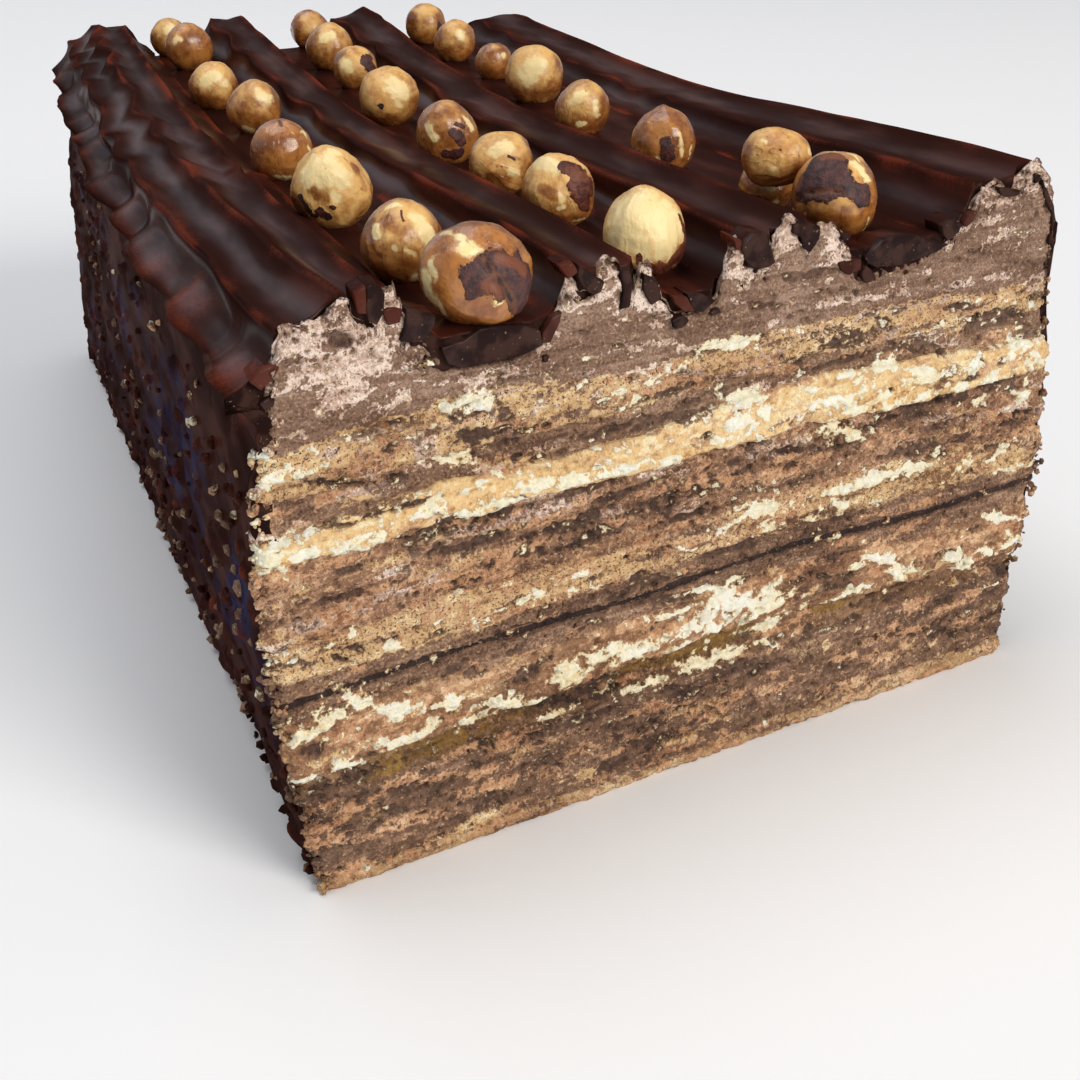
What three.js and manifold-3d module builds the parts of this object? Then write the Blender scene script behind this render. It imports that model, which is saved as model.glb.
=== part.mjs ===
// Chocolate hazelnut layer cake: a bar cut across at its front end, glazed with dark ganache over piped mousse
// ropes, with rows of whole hazelnuts in the channels between them. Millimetres, +Z up, +Y from the cut to the back.
import * as THREE from "three";
import { mergeVertices } from "three/addons/utils/BufferGeometryUtils.js";
import Module from "manifold-3d";

// Driving sizes. X starts at the left corner of the cut and runs along it, Y starts at the cut, Z at the table.
const WIDTH = 140;
const LENGTH = 278;
const CUT_SKEW = 0.189; // the hand-made cut runs back this much for each millimetre to the right
const GAP = 0.3; // between neighbouring pieces
const SEAT = GAP + 0.05; // between the ganache and what it lies on or holds
const GLAZE = 1.5; // thickness of the ganache on walls and ropes
const GLAZE_HEM = 1.2; // height of the lower edge of the ganache above the table
const LAYERS_BACK = LENGTH - GLAZE - 2 * GAP; // the layers end here, just inside the glazed back
const FLOOR_Z = [80.4, 80.2, 81.4]; // mousse under the three channels
const POOL_Z = [83.2, 83, 83.9]; // ganache level in the three channels
const POOL_SWELL = [1.2, 0.9, 2.2]; // the ganache stands this much higher at the cut, where the knife dragged it
const POOL_FADE = 0.09; // share of the length over which that fades
const TOP_Z = 79; // everything above this is the top of the cake
const BEAD = 4.2; // ganache gathers this far out along the left edge of the top
const BEAD_Z = 82.5; // height of the bead
const BEAD_HEIGHT = 4; // from its middle to where it has nearly run out
const BACK_ROUND = 3.5; // rounding of the far end
const BACK_ROUND_LENGTH = 7.7;
const BACK_DIP_Z = [55, 95]; // the far end also draws in downwards, more and more between these heights
const LAYER_WAVE = 0.7; // the layers rise and fall by this much along the cake
const LAYER_TURN = 9; // radians of that wave along the length
const FACE_WAVER = 0.35; // each layer's cut face wavers by this much
const FACE_WAVER_REACH = 5.7;
const FACE_STEP = 2.4; // radians between the waves of neighbouring layers
const ACROSS_CELLS = 16; // facets of a layer across the cut
const CUTTER_PAST = 10; // how far a cutting solid is carried on past what it cuts
const SHORT_EDGE = 0.02;

// Side walls of the cake without its glaze, as offsets from a straight wall at named heights
const WALL_HEIGHTS = [0, 20, 40, 56, 70, 77];
const LEFT_WALL = [0.5, -2.6, -5.2, -5.6, -4.6, -3];
const LEFT_WALL_BACK = [-1, -1.2, -0.5, 0.2, 1.5, 2.8];
const RIGHT_WALL = [-1.5, 0.2, 3, 2.4, -0.8, -0.6];
const WALL_STATIONS = [0, 0.23, 0.47, 0.71, 0.97, 1]; // shares of the length where the walls change course
const SWELL = 1.1; // how far the hand-spread walls swell in and out
const SWELL_TURN = 7.3; // radians of that wave along the length
const SWELL_LEFT = 0.6; // phases of the wave in the left and in the right wall
const SWELL_RIGHT = 2.1;

// Layers from the table upwards: heights of the top at even stations across the cut, colour, and how far the cut face
// stands out
const LAYERS = [
  { name: "base_crumb", tops: [1.9, 2.3, 1.9, 2.2, 2.9, 2.6], colour: 0xd9b98a, proud: 0.6 },
  { name: "sponge_lower", tops: [18.3, 16.6, 17.4, 17.6, 18, 18.4], colour: 0x6e5142, proud: 0 },
  { name: "caramel_jelly", tops: [20.8, 21.8, 22.8, 23.8, 22.2, 21.4], colour: 0x9a6528, proud: -0.9 },
  { name: "cream_broken", tops: [31.2, 31.2, 31.2, 32.4, 30.8, 31.2], colour: 0xe2c79a, proud: 0.7 },
  { name: "cocoa_cream_lower", tops: [33.3, 34.7, 34.4, 35.5, 34.5, 35], colour: 0x735040, proud: 0.1 },
  { name: "chocolate_seam", tops: [34.5, 35.9, 35.6, 36.7, 35.7, 36.2], colour: 0x2c1a16, proud: -0.8 },
  { name: "cocoa_cream_middle", tops: [37.4, 38.6, 39, 40, 39.8, 38.8], colour: 0x7a5b49, proud: 0.2 },
  { name: "sponge_tan_middle", tops: [43, 44.6, 44.4, 46, 46.6, 45], colour: 0xc09565, proud: 0.5 },
  { name: "sponge_pink", tops: [56, 57, 57.4, 58, 57, 57.4], colour: 0x8d6650, proud: -0.1 },
  { name: "cream_yellow", tops: [60, 62.8, 62.6, 65.8, 64.6, 63.4], colour: 0xf1d9a0, proud: 1.1 },
  { name: "cocoa_cream_upper", tops: [66, 67, 67.6, 69.4, 69.4, 68.8], colour: 0x83614d, proud: -0.2 },
  { name: "sponge_tan_upper", tops: [72.4, 75, 73.5, 75, 74.8, 73.4], colour: 0xbd9262, proud: 0.5 },
];
const MOUSSE = { name: "mousse_top", colour: 0x7d6156, proud: 0.2 };

// Piped ropes of mousse under the glaze, each size at the cut, half way along and at the back. across: middle of the
// rope; reach: half its width; rise: height over its foot; crests: angles of its crest lines from the right, in degrees;
// lean: how much higher it stands on its right; ruffle: how far its crest lines wander
const ROPES = [
  {
    across: [8.3, 7.6, 11.6],
    reach: [12, 12.6, 10.8],
    rise: [10.2, 8.4, 11],
    foot: 80.8,
    crests: [176, 139, 104, 68, 26],
    lean: 0,
    ruffle: 1.5,
  },
  {
    across: [49.8, 46, 45.6],
    reach: [9.4, 8.8, 9.4],
    rise: [10.2, 7, 12.5],
    foot: 80,
    crests: [158, 118, 70, 24],
    lean: -0.05,
    ruffle: 0.5,
  },
  {
    across: [81.8, 78.6, 82.4],
    reach: [11.6, 10.4, 10.8],
    rise: [11, 7.8, 12],
    foot: 80.2,
    crests: [160, 122, 76, 26],
    lean: 0,
    ruffle: 0.5,
  },
  {
    across: [126.8, 124.4, 124],
    reach: [13, 12.6, 12.4],
    rise: [12.7, 5.8, 7],
    foot: 81,
    crests: [158, 112, 57, 8],
    lean: 0.34,
    ruffle: 0.6,
  },
];
const FLUTE = 0.13; // depth of the valleys between crest lines, as a share of the rope's radius
const RUFFLE_WAVE = 62; // length of the slow wave along the crest lines
const RUFFLE_STEP = 1.9; // radians between the waves of neighbouring crest lines
const FLOOR_EDGES = [0.16, 0.84]; // shares of a channel's width where its flat floor starts and ends

// Shares of the length where the glaze and the mousse have their cross-sections
const SHARES = [0, 0.06, 0.14, 0.23, 0.31, 0.39, 0.47, 0.55, 0.63, 0.71, 0.8, 0.89, 0.97, 0.99, 1];

// Hazelnuts in their three channels: across, along, middle height, diameter and length over diameter
const NUT_ROWS = [
  {
    across: [29.9, 26.4, 24.6, 24.6, 29, 25.9, 30.2, 29],
    along: [11, 36.1, 73.4, 111.3, 157.6, 188.4, 246.3, 270.5],
    middle: [90.6, 89.4, 89.9, 89, 88.9, 88.8, 89.2, 88.5],
    diameter: [15, 12.9, 14, 12.1, 11.9, 11.6, 12.6, 10.9],
    stretch: [1.12, 1.03, 1.04, 1, 1.02, 1, 1.03, 1],
  },
  {
    across: [63, 61.5, 59.7, 58.7, 58.7, 63.5, 64.7, 68.6],
    along: [27.4, 60.3, 85.1, 114.5, 156.2, 203, 233, 271.4],
    middle: [89.5, 89.1, 88.9, 89.1, 89.4, 88.4, 89, 88.5],
    diameter: [13.6, 12.8, 12.2, 12.9, 13.5, 11.1, 12.5, 11.1],
    stretch: [1.05, 1.04, 1, 1.02, 1.03, 1, 1.02, 1],
  },
  {
    // The third one lies on the two before it
    across: [99.4, 97.6, 94.8, 94.3, 92.9, 96.4, 98.1, 98, 99.6],
    along: [32, 51.8, 44.3, 88.3, 126.4, 164.6, 197.9, 228.7, 260.5],
    middle: [91, 88.4, 95.3, 89.7, 89.5, 90.4, 88.4, 89.2, 89.4],
    diameter: [14.6, 9.7, 10.3, 12.2, 11.8, 13.8, 9.6, 11.2, 11.6],
    stretch: [1.05, 1.02, 1.08, 1.05, 1.03, 1.04, 1, 1, 1],
  },
];
const NUT_SIDES = 10;
const NUT_PROFILE = [-1, -0.82, -0.45, 0, 0.42, 0.78, 1]; // heights of a kernel's rings, base to tip
const NUT_POINT = 0.14; // how much slimmer a kernel is towards its tip
const NUT_LUMPS = 0.045; // unevenness of a kernel, as a share of its radius
const NUT_LUMP_SIZE = 2.8;
const NUT_LEAN = [0.9, 0.7]; // how far a kernel may lean about X and about Y, in radians

const wasm = await Module();
wasm.setup();

const mix = (a, b, t) => a + (b - a) * t;
const clamp01 = (t) => Math.min(1, Math.max(0, t));
const bell = (t) => Math.exp(-t * t);

// Smooth curve through values at even stations, t from 0 to 1
function through(values, t) {
  const last = values.length - 1;
  const at = clamp01(t) * last;
  const i = Math.min(last - 1, Math.floor(at));
  const [a, b, c, d] = [i - 1, i, i + 1, i + 2].map((k) => values[Math.min(last, Math.max(0, k))]);
  const f = at - i;
  return b + 0.5 * f * (c - a + f * (2 * a - 5 * b + 4 * c - d + f * (3 * (b - c) + d - a)));
}

// Straight stretches between values at named heights
function wallAt(offsets, z) {
  const last = WALL_HEIGHTS.length - 1;
  let i = 0;
  while (i < last - 1 && z > WALL_HEIGHTS[i + 1]) i += 1;
  const t = clamp01((z - WALL_HEIGHTS[i]) / (WALL_HEIGHTS[i + 1] - WALL_HEIGHTS[i]));
  return mix(offsets[i], offsets[i + 1], t);
}

// Where the cross-section at share s of the length stands, at a point x across the cake
const alongAt = (x, s, back) => mix(CUT_SKEW * x, back, s);

// The hand-spread walls swell a little in and out along the length, in straight stretches between the stations
function swell(s, phase) {
  const at = (share) => SWELL * Math.sin(SWELL_TURN * share + phase) * Math.sin(Math.PI * share);
  const t = clamp01(s);
  const j = Math.max(0, WALL_STATIONS.findIndex((share) => share >= t) - 1);
  const [from, to] = [WALL_STATIONS[j], WALL_STATIONS[j + 1]];
  return mix(at(from), at(to), (t - from) / (to - from));
}
const leftWall = (z, s) => mix(wallAt(LEFT_WALL, z), wallAt(LEFT_WALL_BACK, z), s) + swell(s, SWELL_LEFT);
const rightWall = (z, s) => WIDTH + wallAt(RIGHT_WALL, z) + swell(s, SWELL_RIGHT);

// Outline of one rope from its left foot to its right foot, as [x, z] points on crest lines and in the flutes
function ropeOutline(rope, s) {
  const [middle, reach, rise] = [rope.across, rope.reach, rope.rise].map((sizes) => through(sizes, s));
  const wave = (2 * Math.PI * s * LENGTH) / RUFFLE_WAVE;
  const point = (angle, valley, k) => {
    const turn = THREE.MathUtils.degToRad(angle);
    const ruffle = rope.ruffle * Math.sin(wave + RUFFLE_STEP * k + rope.foot) * Math.sin(turn) ** 2;
    const share = 1 - FLUTE * valley;
    const height = rise * (1 + rope.lean * Math.cos(turn)) * Math.max(Math.sin(turn), 0);
    return [middle + reach * Math.cos(turn) * share + ruffle, rope.foot + height * share];
  };
  return rope.crests.flatMap((angle, k) => {
    const crest = point(angle, 0, k);
    return k > 0 ? [point((rope.crests[k - 1] + angle) / 2, 1, k), crest] : [crest];
  });
}

// Outline of the cake without its glaze at share s, from the left wall over the ropes to the right wall
function coreOutline(s, bottom) {
  const heights = WALL_HEIGHTS.filter((z) => z > bottom + 4);
  const left = [bottom, ...heights].map((z) => [leftWall(z, s), z]);
  const right = [bottom, ...heights].map((z) => [rightWall(z, s), z]).reverse();
  const ropes = ROPES.map((rope) => ropeOutline(rope, s));
  const top = ropes.flatMap((rope, k) => {
    if (k === ropes.length - 1) return rope;
    const from = rope[rope.length - 1][0];
    const to = ropes[k + 1][0][0];
    const floor = FLOOR_EDGES.map((t) => [mix(from, to, t), FLOOR_Z[k]]);
    return [...rope, ...floor];
  });
  return [...left, ...top, ...right];
}

// The outline moved outwards by a distance, each stretch staying parallel to itself
function grown(outline, distance) {
  return outline.map(([x, z], i) => {
    const before = outline[Math.max(0, i - 1)];
    const after = outline[Math.min(outline.length - 1, i + 1)];
    const a = new THREE.Vector2(x - before[0], z - before[1]);
    const b = new THREE.Vector2(after[0] - x, after[1] - z);
    if (i === 0) a.copy(b);
    if (i === outline.length - 1) b.copy(a);
    const na = new THREE.Vector2(-a.y, a.x).normalize();
    const nb = new THREE.Vector2(-b.y, b.x).normalize();
    const normal = na.clone().add(nb).normalize();
    const reach = distance / Math.max(0.6, normal.dot(na));
    return [x + normal.x * reach, z + normal.y * reach];
  });
}

// Ganache level at a point across: each channel has its own, and the ropes stand out of it
function poolAt(x, s) {
  const middles = ROPES.map((rope) => through(rope.across, s));
  const channel = POOL_Z.findIndex((_, k) => x >= middles[k] && x < middles[k + 1]);
  return channel < 0 ? 0 : POOL_Z[channel] + POOL_SWELL[channel] * clamp01(1 - s / POOL_FADE);
}

// The far end is rounded: the last cross-sections draw in and down
function rounded([x, z], s, back) {
  const t = clamp01(1 - ((1 - s) * back) / BACK_ROUND_LENGTH);
  const draw = BACK_ROUND * (1 - Math.sqrt(1 - t * t));
  const high = clamp01((z - BACK_DIP_Z[0]) / (BACK_DIP_Z[1] - BACK_DIP_Z[0]));
  return [mix(x, WIDTH / 2, draw / (WIDTH / 2)), z - draw * high];
}

// Closed solid through cross-sections, each a closed loop of [x, y, z] points with the same count
function loft(loops) {
  const count = loops[0].length;
  const positions = loops.flat(2);
  const faces = [];
  for (let j = 0; j + 1 < loops.length; j += 1) {
    for (let i = 0; i < count; i += 1) {
      const a = j * count + i;
      const b = j * count + ((i + 1) % count);
      faces.push(a, b, a + count, b, b + count, a + count);
    }
  }
  [0, loops.length - 1].forEach((j) => {
    const flat = loops[j].map(([x, , z]) => new THREE.Vector2(x, z));
    THREE.ShapeUtils.triangulateShape(flat, []).forEach((corners) => {
      const turnsLeft = THREE.ShapeUtils.area(corners.map((i) => flat[i])) > 0;
      const [a, b, c] = corners.map((i) => j * count + i);
      faces.push(...(turnsLeft === (j === 0) ? [a, b, c] : [a, c, b]));
    });
  });
  const geometry = new THREE.BufferGeometry();
  geometry.setAttribute("position", new THREE.Float32BufferAttribute(positions, 3));
  geometry.setIndex(faces);
  return geometry;
}

// A closed mesh as a solid that can be joined and cut, its faces turned outwards
function solidOf(geometry) {
  const plain = geometry.clone();
  ["normal", "uv"].forEach((name) => plain.deleteAttribute(name));
  const merged = mergeVertices(plain, 1e-3);
  const vertProperties = merged.attributes.position.array;
  const make = (triVerts) => new wasm.Manifold(new wasm.Mesh({ numProp: 3, vertProperties, triVerts }));
  const triVerts = new Uint32Array(merged.index.array);
  const solid = make(triVerts);
  return solid.volume() > 0 ? solid : make(triVerts.slice().reverse());
}

// A solid as a mesh, without the edges too short to matter that joining and cutting leave
function geometryOf(solid) {
  const mesh = solid.simplify(SHORT_EDGE).getMesh();
  const positions = [];
  for (let i = 0; i < mesh.numVert; i += 1) {
    positions.push(...mesh.vertProperties.slice(i * mesh.numProp, i * mesh.numProp + 3));
  }
  const geometry = new THREE.BufferGeometry();
  geometry.setAttribute("position", new THREE.Float32BufferAttribute(positions, 3));
  geometry.setIndex([...mesh.triVerts]);
  geometry.computeVertexNormals();
  return geometry;
}

// A box with a grid of cells whose every corner is moved by a rule that takes shares across, along and up
function warpedBox(cells, rule) {
  const box = new THREE.BoxGeometry(1, 1, 1, cells.across, cells.along, cells.up);
  const place = box.attributes.position;
  for (let i = 0; i < place.count; i += 1) {
    place.setXYZ(i, ...rule(place.getX(i) + 0.5, place.getY(i) + 0.5, place.getZ(i) + 0.5));
  }
  return box;
}

// Height of a boundary between two layers: its stations across the cut and a slow wave along the cake
const boundary = (tops, across, s) => through(tops, across) + LAYER_WAVE * Math.sin(LAYER_TURN * s);
const boundaries = [() => 0, ...LAYERS.map(({ tops }) => (across, s) => boundary(tops, across, s))];

// A layer's cut face stands a little proud of the cut or behind it, and wavers
const faceRelief = (layer, k, x) => -layer.proud - FACE_WAVER * Math.sin(x / FACE_WAVER_REACH + FACE_STEP * k);

function layerGeometry(layer, k) {
  const stretches = WALL_STATIONS.length - 1;
  return warpedBox({ across: ACROSS_CELLS, along: stretches, up: 1 }, (u, v, w) => {
    const s = WALL_STATIONS[Math.round(v * stretches)];
    const y = alongAt(u * WIDTH, s, LAYERS_BACK) + (s === 0 ? faceRelief(layer, k, u * WIDTH) : 0);
    const lower = boundaries[k](u, s) + (k > 0 ? GAP / 2 : 0);
    const height = mix(lower, boundaries[k + 1](u, s) - GAP / 2, w);
    const across = mix(leftWall(height, s), rightWall(height, s), u);
    const [x, z] = rounded([across, height], s, LAYERS_BACK);
    return [x, y, z];
  });
}

// The cake's form grown by a distance. front: how far it is carried on before the cut. coat: with pools and bead
function loafSolid({ grow, bottom, front, back, coat }) {
  const section = (s, ahead) => {
    const middle = through(ROPES[0].across, s);
    const outline = grown(coreOutline(s, bottom), grow).map((point) => {
      const [x, z] = rounded(point, s, back);
      const level = coat && z > TOP_Z ? poolAt(x, s) : 0;
      const bead = coat && x < middle ? BEAD * bell((z - BEAD_Z) / BEAD_HEIGHT) : 0;
      return [x - bead, alongAt(x, s, back) - ahead, Math.max(z, level)];
    });
    outline[0][2] = bottom;
    outline[outline.length - 1][2] = bottom;
    return outline;
  };
  const ahead = front > 0 ? [section(0, front)] : [];
  return solidOf(loft([...ahead, ...SHARES.map((s) => section(s, 0))]));
}

// The top of the last layer, carried on past the walls, the cut and the far end
function belowMousse(base) {
  const tops = LAYERS[LAYERS.length - 1].tops;
  const stretches = WALL_STATIONS.length - 1;
  const cells = { across: ACROSS_CELLS + 2, along: stretches + 2, up: 1 };
  const inner = (share, count) => clamp01((share * (count + 2) - 1) / count);
  const outside = (share) => CUTTER_PAST * (share < 0.001 ? -1 : share > 0.999 ? 1 : 0);
  return warpedBox(cells, (u, v, w) => {
    const across = inner(u, ACROSS_CELLS);
    const s = WALL_STATIONS[Math.round(inner(v, stretches) * stretches)];
    const top = boundary(tops, across, s) + GAP / 2;
    const [x] = rounded([mix(leftWall(top, s), rightWall(top, s), across), top], s, LAYERS_BACK);
    const y = alongAt(across * WIDTH, s, LAYERS_BACK) + outside(v);
    return [x + outside(u), y, mix(base - CUTTER_PAST, top, w)];
  });
}

function mousseGeometry() {
  const base = 62;
  const block = loafSolid({ grow: 0, bottom: base, front: MOUSSE.proud, back: LAYERS_BACK });
  return geometryOf(block.subtract(solidOf(belowMousse(base))));
}

// Mulberry32, so that the uneven kernels are the same each time
function seeded(seed) {
  let state = seed;
  return () => {
    state = (state + 0x6d2b79f5) | 0;
    let t = Math.imul(state ^ (state >>> 15), 1 | state);
    t = (t + Math.imul(t ^ (t >>> 7), 61 | t)) ^ t;
    return ((t ^ (t >>> 14)) >>> 0) / 4294967296;
  };
}

// A kernel: round with a flatter base and a blunt tip, turned its own way and pressed flat where it sits
function nutGeometry({ across, along, middle, diameter, stretch, channel, seed }, spare) {
  const random = seeded(seed);
  const radius = diameter / 2;
  const profile = NUT_PROFILE.map((h) => {
    const wide = Math.sqrt(Math.max(0, 1 - h * h)) * (h > 0 ? 1 - NUT_POINT * h : 1);
    return new THREE.Vector2(radius * wide, radius * stretch * h);
  });
  profile[0].x = 0;
  profile[profile.length - 1].x = 0;
  const kernel = new THREE.LatheGeometry(profile, NUT_SIDES);
  const between = (reach) => mix(-reach, reach, random());
  const turn = () => 2 * Math.PI * random();
  const lean = new THREE.Euler(between(NUT_LEAN[0]), between(NUT_LEAN[1]), turn());
  const sway = [turn(), turn(), turn()];
  const place = kernel.attributes.position;
  const p = new THREE.Vector3();
  for (let i = 0; i < place.count; i += 1) {
    p.fromBufferAttribute(place, i);
    const lump = p.toArray().reduce((sum, c, axis) => sum + Math.sin(c / NUT_LUMP_SIZE + sway[axis]) / 3, 0);
    p.multiplyScalar(1 + NUT_LUMPS * lump + spare / radius);
    p.applyEuler(lean);
    const seat = POOL_Z[channel] + SEAT - spare;
    place.setXYZ(i, across + p.x, along + p.y, Math.max(seat, middle + p.z));
  }
  return kernel;
}

const nuts = NUT_ROWS.flatMap((row, channel) =>
  row.across.map((across, i) => ({
    across,
    along: row.along[i],
    middle: row.middle[i],
    diameter: row.diameter[i],
    stretch: row.stretch[i],
    channel,
    seed: 11 + 100 * channel + i,
  })),
);

// The ganache coat: the glazed form less the cake inside it and the seats of the kernels
function glazeGeometry() {
  const outer = loafSolid({ grow: GAP + GLAZE, bottom: GLAZE_HEM, front: 0, back: LENGTH, coat: true });
  const inner = loafSolid({ grow: SEAT, bottom: -CUTTER_PAST, front: CUTTER_PAST, back: LENGTH - GLAZE });
  let coat = outer.subtract(inner);
  nuts.forEach((nut) => {
    coat = coat.subtract(solidOf(nutGeometry(nut, GAP)));
  });
  return geometryOf(coat);
}

function piece(name, geometry, colour, roughness) {
  const material = new THREE.MeshStandardMaterial({ color: colour, roughness, metalness: 0 });
  const mesh = new THREE.Mesh(geometry, material);
  mesh.name = name;
  return mesh;
}

const cake = new THREE.Group();
LAYERS.forEach((layer, k) => cake.add(piece(layer.name, layerGeometry(layer, k), layer.colour, 0.85)));
cake.add(piece(MOUSSE.name, mousseGeometry(), MOUSSE.colour, 0.9));
cake.add(piece("ganache_glaze", glazeGeometry(), 0x24140f, 0.25));
nuts.forEach((nut, i) => {
  const number = String(i + 1).padStart(2, "0");
  cake.add(piece(`hazelnut_${number}`, nutGeometry(nut, 0), 0xc98f4e, 0.35));
});

// The part's own frame: middle of the footprint, on the table
const box = new THREE.Box3().setFromObject(cake);
const centre = box.getCenter(new THREE.Vector3());
cake.position.set(-centre.x, -centre.y, 0);

const part = new THREE.Group();
part.add(cake);
export default part;
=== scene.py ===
import math
from collections import namedtuple

import bmesh
import bpy
import numpy as np
from mathutils import Matrix, Vector


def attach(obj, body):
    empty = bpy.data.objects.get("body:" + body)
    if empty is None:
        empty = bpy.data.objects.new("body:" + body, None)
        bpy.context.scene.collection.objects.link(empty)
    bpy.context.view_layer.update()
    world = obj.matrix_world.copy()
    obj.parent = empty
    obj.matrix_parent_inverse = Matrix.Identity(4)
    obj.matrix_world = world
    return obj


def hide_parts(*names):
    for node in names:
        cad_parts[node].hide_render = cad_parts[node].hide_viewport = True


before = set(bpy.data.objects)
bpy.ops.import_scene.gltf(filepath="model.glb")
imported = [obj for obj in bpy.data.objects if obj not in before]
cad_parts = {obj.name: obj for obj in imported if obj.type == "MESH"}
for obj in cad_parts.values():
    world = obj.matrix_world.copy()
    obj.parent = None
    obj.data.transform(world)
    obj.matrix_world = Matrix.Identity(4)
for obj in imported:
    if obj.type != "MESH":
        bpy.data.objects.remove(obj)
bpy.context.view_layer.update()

bl_info = {
    "name": "Chocolate hazelnut cake",
    "version": (1, 0, 0),
    "blender": (4, 5, 0),
    "location": "3D View > Sidebar > Cake",
    "description": "A cut chocolate layer cake with piped ropes, ganache and whole hazelnuts",
    "category": "Object",
}

MM = 0.001

# Sizes of the cake in millimetres. X starts at the left corner of the cut, Y at the cut, Z at the table
CORNER = (-66.9413, -138.3005)  # that corner in the part's own frame
WIDTH = 140
LENGTH = 278
CUT_SKEW = 0.189  # how far the cut runs back for each millimetre across
GLAZE = 1.8  # outside of the ganache, from the cake inside it
LAYERS_BACK = 275.9  # far end of the layers
FLOOR_Z = (80.4, 80.2, 81.4)  # mousse under the three channels
POOL_Z = (83.2, 83, 83.9)  # ganache in the three channels
POOL_SWELL, POOL_FADE = (1.2, 0.9, 2.2), 0.09  # how much higher it stands at the cut, and how soon it falls
BEAD, BEAD_Z, BEAD_HEIGHT = 4.2, 82.5, 4  # the left edge's bead: how far out, at what height, half width
BACK_ROUND, BACK_ROUND_LENGTH, BACK_DIP_Z = 3.5, 7.7, (55, 95)  # how the far end draws in and down
LAYER_WAVE, LAYER_TURN = 0.7, 9  # how the layers rise and fall along the cake

# Side walls: how far they lie from the cut's corners at these heights, and how they swell along the cake
WALL_HEIGHTS = (0, 20, 40, 56, 70, 77)
LEFT_WALL = (0.5, -2.6, -5.2, -5.6, -4.6, -3)
LEFT_WALL_BACK = (-1, -1.2, -0.5, 0.2, 1.5, 2.8)
RIGHT_WALL = (-1.5, 0.2, 3, 2.4, -0.8, -0.6)
WALL_STATIONS = (0, 0.23, 0.47, 0.71, 0.97, 1)
SWELL, SWELL_TURN, SWELL_LEFT, SWELL_RIGHT = 1.1, 7.3, 0.6, 2.1
LAP = 0.14  # neighbouring layers reach into each other by this much

# Layers from the table upwards: node, finish, tops at even stations across the cut, how far the cut face
# stands out, roughness of its crumb, how smeared it is by the knife, and how much its upper edge wanders
LAYERS = (
    ("base_crumb", "base_crumb", (1.9, 2.3, 1.9, 2.2, 2.9, 2.6), 0.6, 0.5, 0.2, 0.5),
    ("sponge_lower", "sponge_brown", (18.3, 16.6, 17.4, 17.6, 18, 18.4), 0, 0.55, 0.3, 0.5),
    ("caramel_jelly", "caramel", (20.8, 21.8, 22.8, 23.8, 22.2, 21.4), -0.5, 0.4, 0.4, 0.6),
    ("cream_broken", "cream_ivory", (31.2, 31.2, 31.2, 32.4, 30.8, 31.2), 0.5, 0.6, 0.3, 0.7),
    ("cocoa_cream_lower", "cocoa_cream", (33.3, 34.7, 34.4, 35.5, 34.5, 35), 0.1, 0.3, 0.7, 0.3),
    ("chocolate_seam", "chocolate_seam", (34.5, 35.9, 35.6, 36.7, 35.7, 36.2), -0.5, 0.15, 0.3, 0.3),
    ("cocoa_cream_middle", "cocoa_cream", (37.4, 38.6, 39, 40, 39.8, 38.8), 0.2, 0.3, 0.7, 0.7),
    ("sponge_tan_middle", "sponge_tan", (43, 44.6, 44.4, 46, 46.6, 45), 0.4, 0.55, 0.3, 0.8),
    ("sponge_pink", "sponge_pink", (56, 57, 57.4, 58, 57, 57.4), -0.1, 0.7, 0.4, 0.9),
    ("cream_yellow", "cream_yellow", (60, 62.8, 62.6, 65.8, 64.6, 63.4), 0.8, 0.4, 0.5, 0.8),
    ("cocoa_cream_upper", "cocoa_cream", (66, 67, 67.6, 69.4, 69.4, 68.8), -0.1, 0.3, 0.7, 0.7),
    ("sponge_tan_upper", "sponge_tan", (72.4, 75, 73.5, 75, 74.8, 73.4), 0.4, 0.6, 0.3, 0.6),
)

# Ropes: middle across, reach to the sides and rise above the foot, each at the cut, half way along and at
# the back; crests in degrees from the right, how much higher the right side is, how far the crests zigzag
# at the back, and by how many degrees each crest is turned at the cut
ROPES = (
    dict(across=(8.3, 7.6, 11.6), reach=(12, 12.6, 10.8), rise=(10.2, 8.4, 11), foot=80.8,
         crests=(176, 139, 104, 68, 26), lean=0, zigzag=1.5, front=(0, -4, -13, -3, 0)),
    dict(across=(49.8, 46, 45.6), reach=(9.4, 8.8, 9.4), rise=(10.2, 7, 12.5), foot=80,
         crests=(158, 118, 70, 24), lean=-0.05, zigzag=0.8, front=(0, 0, 0, 0)),
    dict(across=(81.8, 78.6, 82.4), reach=(11.6, 10.4, 10.8), rise=(11, 7.8, 12), foot=80.2,
         crests=(160, 122, 76, 26), lean=0, zigzag=0.9, front=(0, 0, 0, 0)),
    dict(across=(126.8, 124.4, 124), reach=(13, 12.6, 12.4), rise=(12.7, 5.8, 7), foot=81,
         crests=(158, 112, 57, 8), lean=0.34, zigzag=0.7, front=(0, 0, 0, 0)),
)
FLUTE = 0.22  # depth of the valleys between crests, over the rope's radius

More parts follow.
